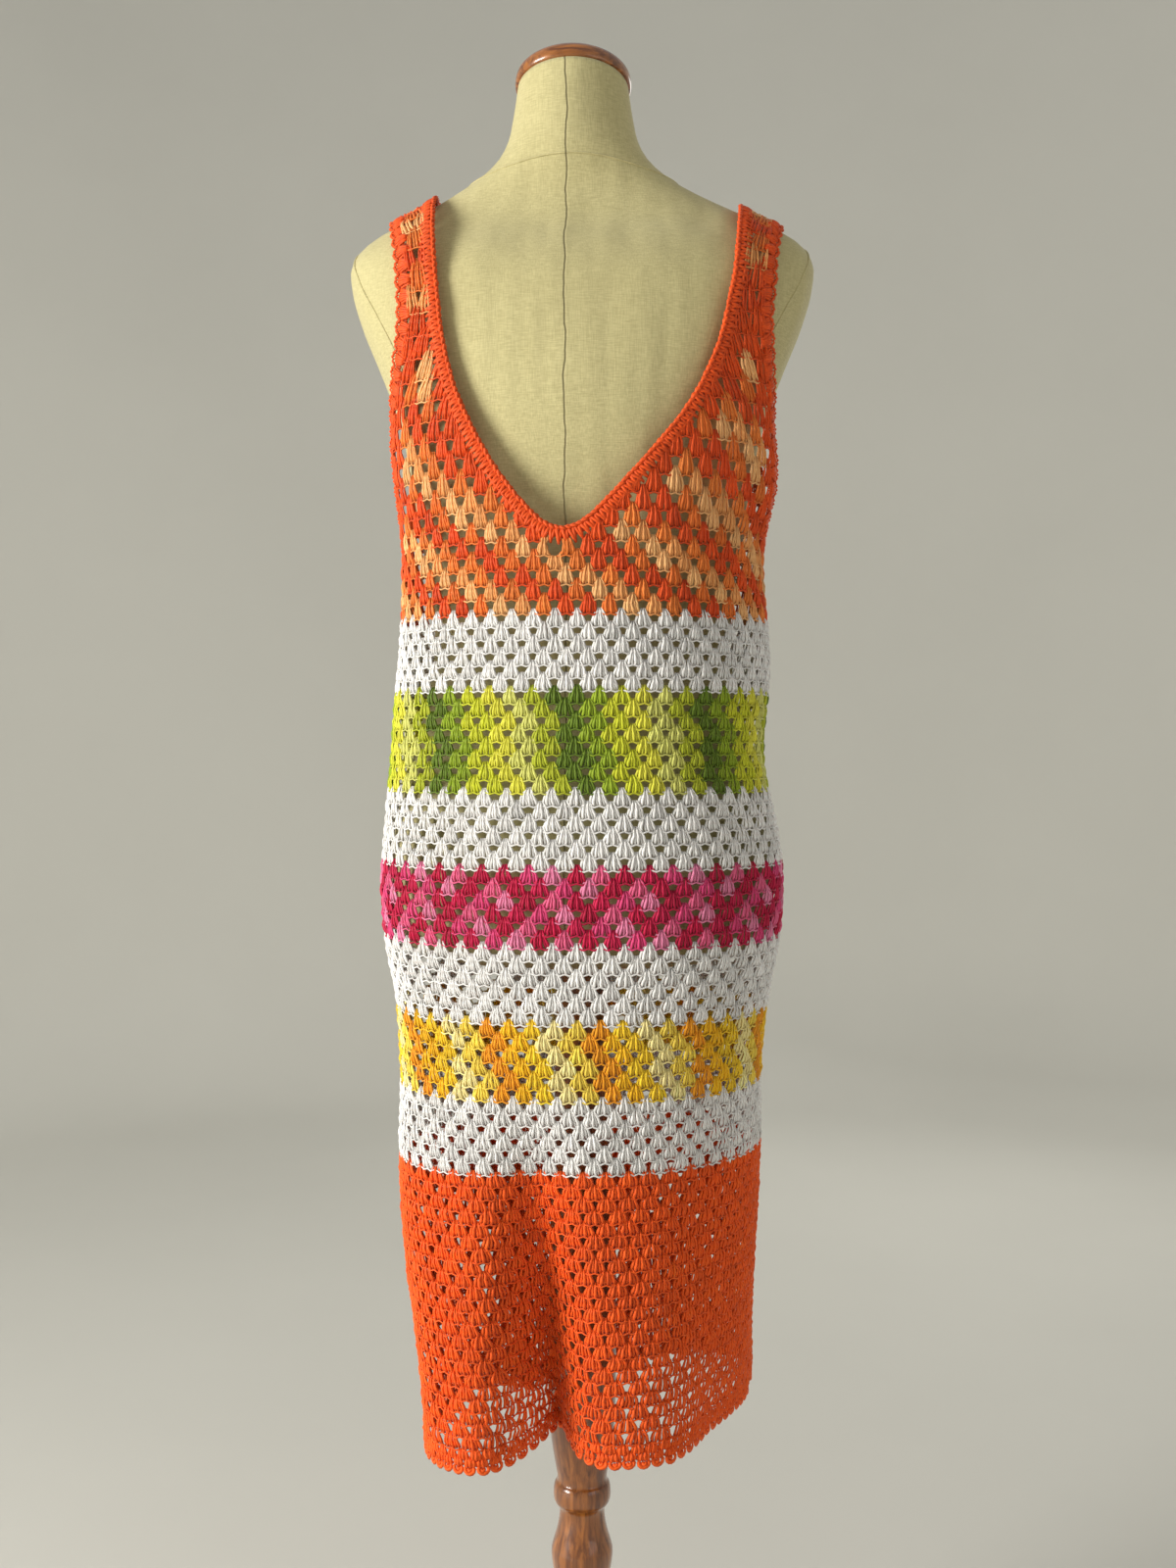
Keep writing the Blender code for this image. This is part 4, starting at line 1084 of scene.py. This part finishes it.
# each round of fans: height of its lower edge, its height, and its shift along the hem
FAN_ROUNDS = ((355.5, 6.6, 0.5), (350.5, 6.0, 0.0))
picot_way = np.linspace(-1, 1, 9)
PICOT = np.column_stack((3.7 * np.sin(picot_way * 2.2), 4.5 - 3.4 * np.cos(picot_way * 2.2),
                         0.4 + 1.0 * (1 - picot_way ** 2)))
PICOT_CORE = np.column_stack((picot_way * 1.6, 5.0 - 1.6 * (1 - picot_way ** 2),
                              1.2 - 1.4 * picot_way ** 2))
hem_parts = []
for _, panel in PANELS:
    half = float(sheet_scale(panel, HEM_MIDDLE))
    count = round(2 * half / PICOT_PITCH)
    share = 1 - 2 * (np.arange(count) + 0.5) / count
    whose = np.full(count, panel)
    for lower, tall, shift in FAN_ROUNDS:
        fans = (whose, share + 2 * shift / count, np.full(count, lower), np.full(count, tall),
                np.full(count, PICOT_PITCH * 0.5), np.tile(SKIRT_ORANGE, (count, 1)))
        hem_parts.extend(cluster_tubes(*fans, SKIRT_WORK)[:1])
    for template, thick in ((PICOT, 1.25), (PICOT_CORE, 1.2)):
        path = template[None] + rng.normal(0, 0.2, (count, 1, 3))
        height = HEM_HEIGHT + path[..., 1]
        points, outward = on_sheet(whose[:, None] + 0 * height,
                                   share[:, None] + path[..., 0] / half, height, path[..., 2])
        made = tubes(points, outward, thick, EDGE_SIDES)
        dye = shaded(SKIRT_ORANGE, rng.normal(1, 0.05, (count, 1)))
        hem_parts.append((*made[:3], dye[made[3]]))
hem_edging = make_knit("hem_picots", hem_parts, "edging_cotton", ["hem_edging"])

# The studio: a round backdrop of painted plaster, flat matt and barely uneven, that sweeps up
# from the floor without a corner. It faces inwards. Its outline is height and radius.
SWEEP = np.array(((0, 0), (0, 2300), (60, 2750), (500, 3050), (3600, 3150)), float)
SWEEP_SIDES = 96
sweep_height, sweep_radius = soften(SWEEP, 3)[1:, :, None].transpose(1, 0, 2)
sweep_turns = np.linspace(0, 2 * math.pi, SWEEP_SIDES, endpoint=False)
sweep_points = np.stack((sweep_radius * np.cos(sweep_turns), sweep_radius * np.sin(sweep_turns),
                         np.repeat(sweep_height, SWEEP_SIDES, 1)), axis=-1)
plaster, tree, shader = start_material("pale_grey_painted_plaster")
place = add(tree, "TexCoord", {}).outputs["Object"]
unevenness = add(tree, "TexNoise", {"Vector": place, "Scale": 2, "Detail": 3})
paint = add(tree, "Mix", {0: unevenness, 6: linear("#CCCBC4"), 7: linear("#D3D2CB")},
            data_type="RGBA")
feed(tree, shader, {"Base Color": paint.outputs[2], "Roughness": 1.0})
sweep_faces = [ring_faces(len(sweep_points), SWEEP_SIDES)[:, ::-1],
               np.arange(SWEEP_SIDES)[None, :]]
make_mesh("backdrop", sweep_points.reshape(-1, 3), sweep_faces, plaster)


def add_light(name, place, target, size, power, colour):
    """A soft square lamp that faces a point."""
    light = bpy.data.lights.new(name, "AREA")
    light.shape = "RECTANGLE"
    light.size, light.size_y = size
    light.energy = power
    light.color = linear(colour)[:3]
    lamp = put_in_scene(name, light)
    lamp.location = place
    away = np.array(place, float) - np.array(target, float)
    lamp.rotation_euler = (math.atan2(math.hypot(away[0], away[1]), away[2]), 0,
                           math.atan2(away[0], -away[1]))


add_light("window_light", (2.3, 1.25, 1.45), (0, 0, 0.85), (1.0, 1.5), 86, "#FFFDF8")
add_light("low_fill", (-1.9, 1.9, 1.2), (0, 0, 0.9), (1.6, 1.6), 5, "#F4F2FF")
add_light("front_fill", (-0.9, -2.2, 1.5), (0, 0, 0.9), (1.6, 1.6), 14, "#FFFDF8")
world = bpy.data.worlds.new("studio")
bpy.context.scene.world = world
world.use_nodes = True
feed(world.node_tree, world.node_tree.nodes["Background"],
     {"Color": linear("#F3F3F0"), "Strength": 0.42})
bpy.context.scene.view_settings.view_transform = "Standard"

# The camera: level, at the photograph's height and 1.35 m behind the column, two degrees
# round towards the wearer's right, with the frame shifted as the photograph was cropped.
CAMERA_AWAY = 1.35
CAMERA_TURN = math.radians(2)
CAMERA_HEIGHT = 0.90
LENS_PIXELS = 1646
IMAGE_WIDTH, IMAGE_HEIGHT = 1200, 1600
SENSOR = 36
AXIS_PIXEL = 594
HORIZON_PIXEL = 760
camera_data = bpy.data.cameras.new("camera")
camera_data.sensor_width = SENSOR
camera_data.lens = LENS_PIXELS * SENSOR / IMAGE_HEIGHT
camera_data.shift_x = (IMAGE_WIDTH / 2 - AXIS_PIXEL) / IMAGE_HEIGHT
camera_data.shift_y = (HORIZON_PIXEL - IMAGE_HEIGHT / 2) / IMAGE_HEIGHT
camera = put_in_scene("camera", camera_data)
camera.location = (-CAMERA_AWAY * math.sin(CAMERA_TURN), CAMERA_AWAY * math.cos(CAMERA_TURN),
                   CAMERA_HEIGHT)
camera.rotation_euler = (math.pi / 2, 0, math.pi + CAMERA_TURN)
bpy.context.scene.camera = camera
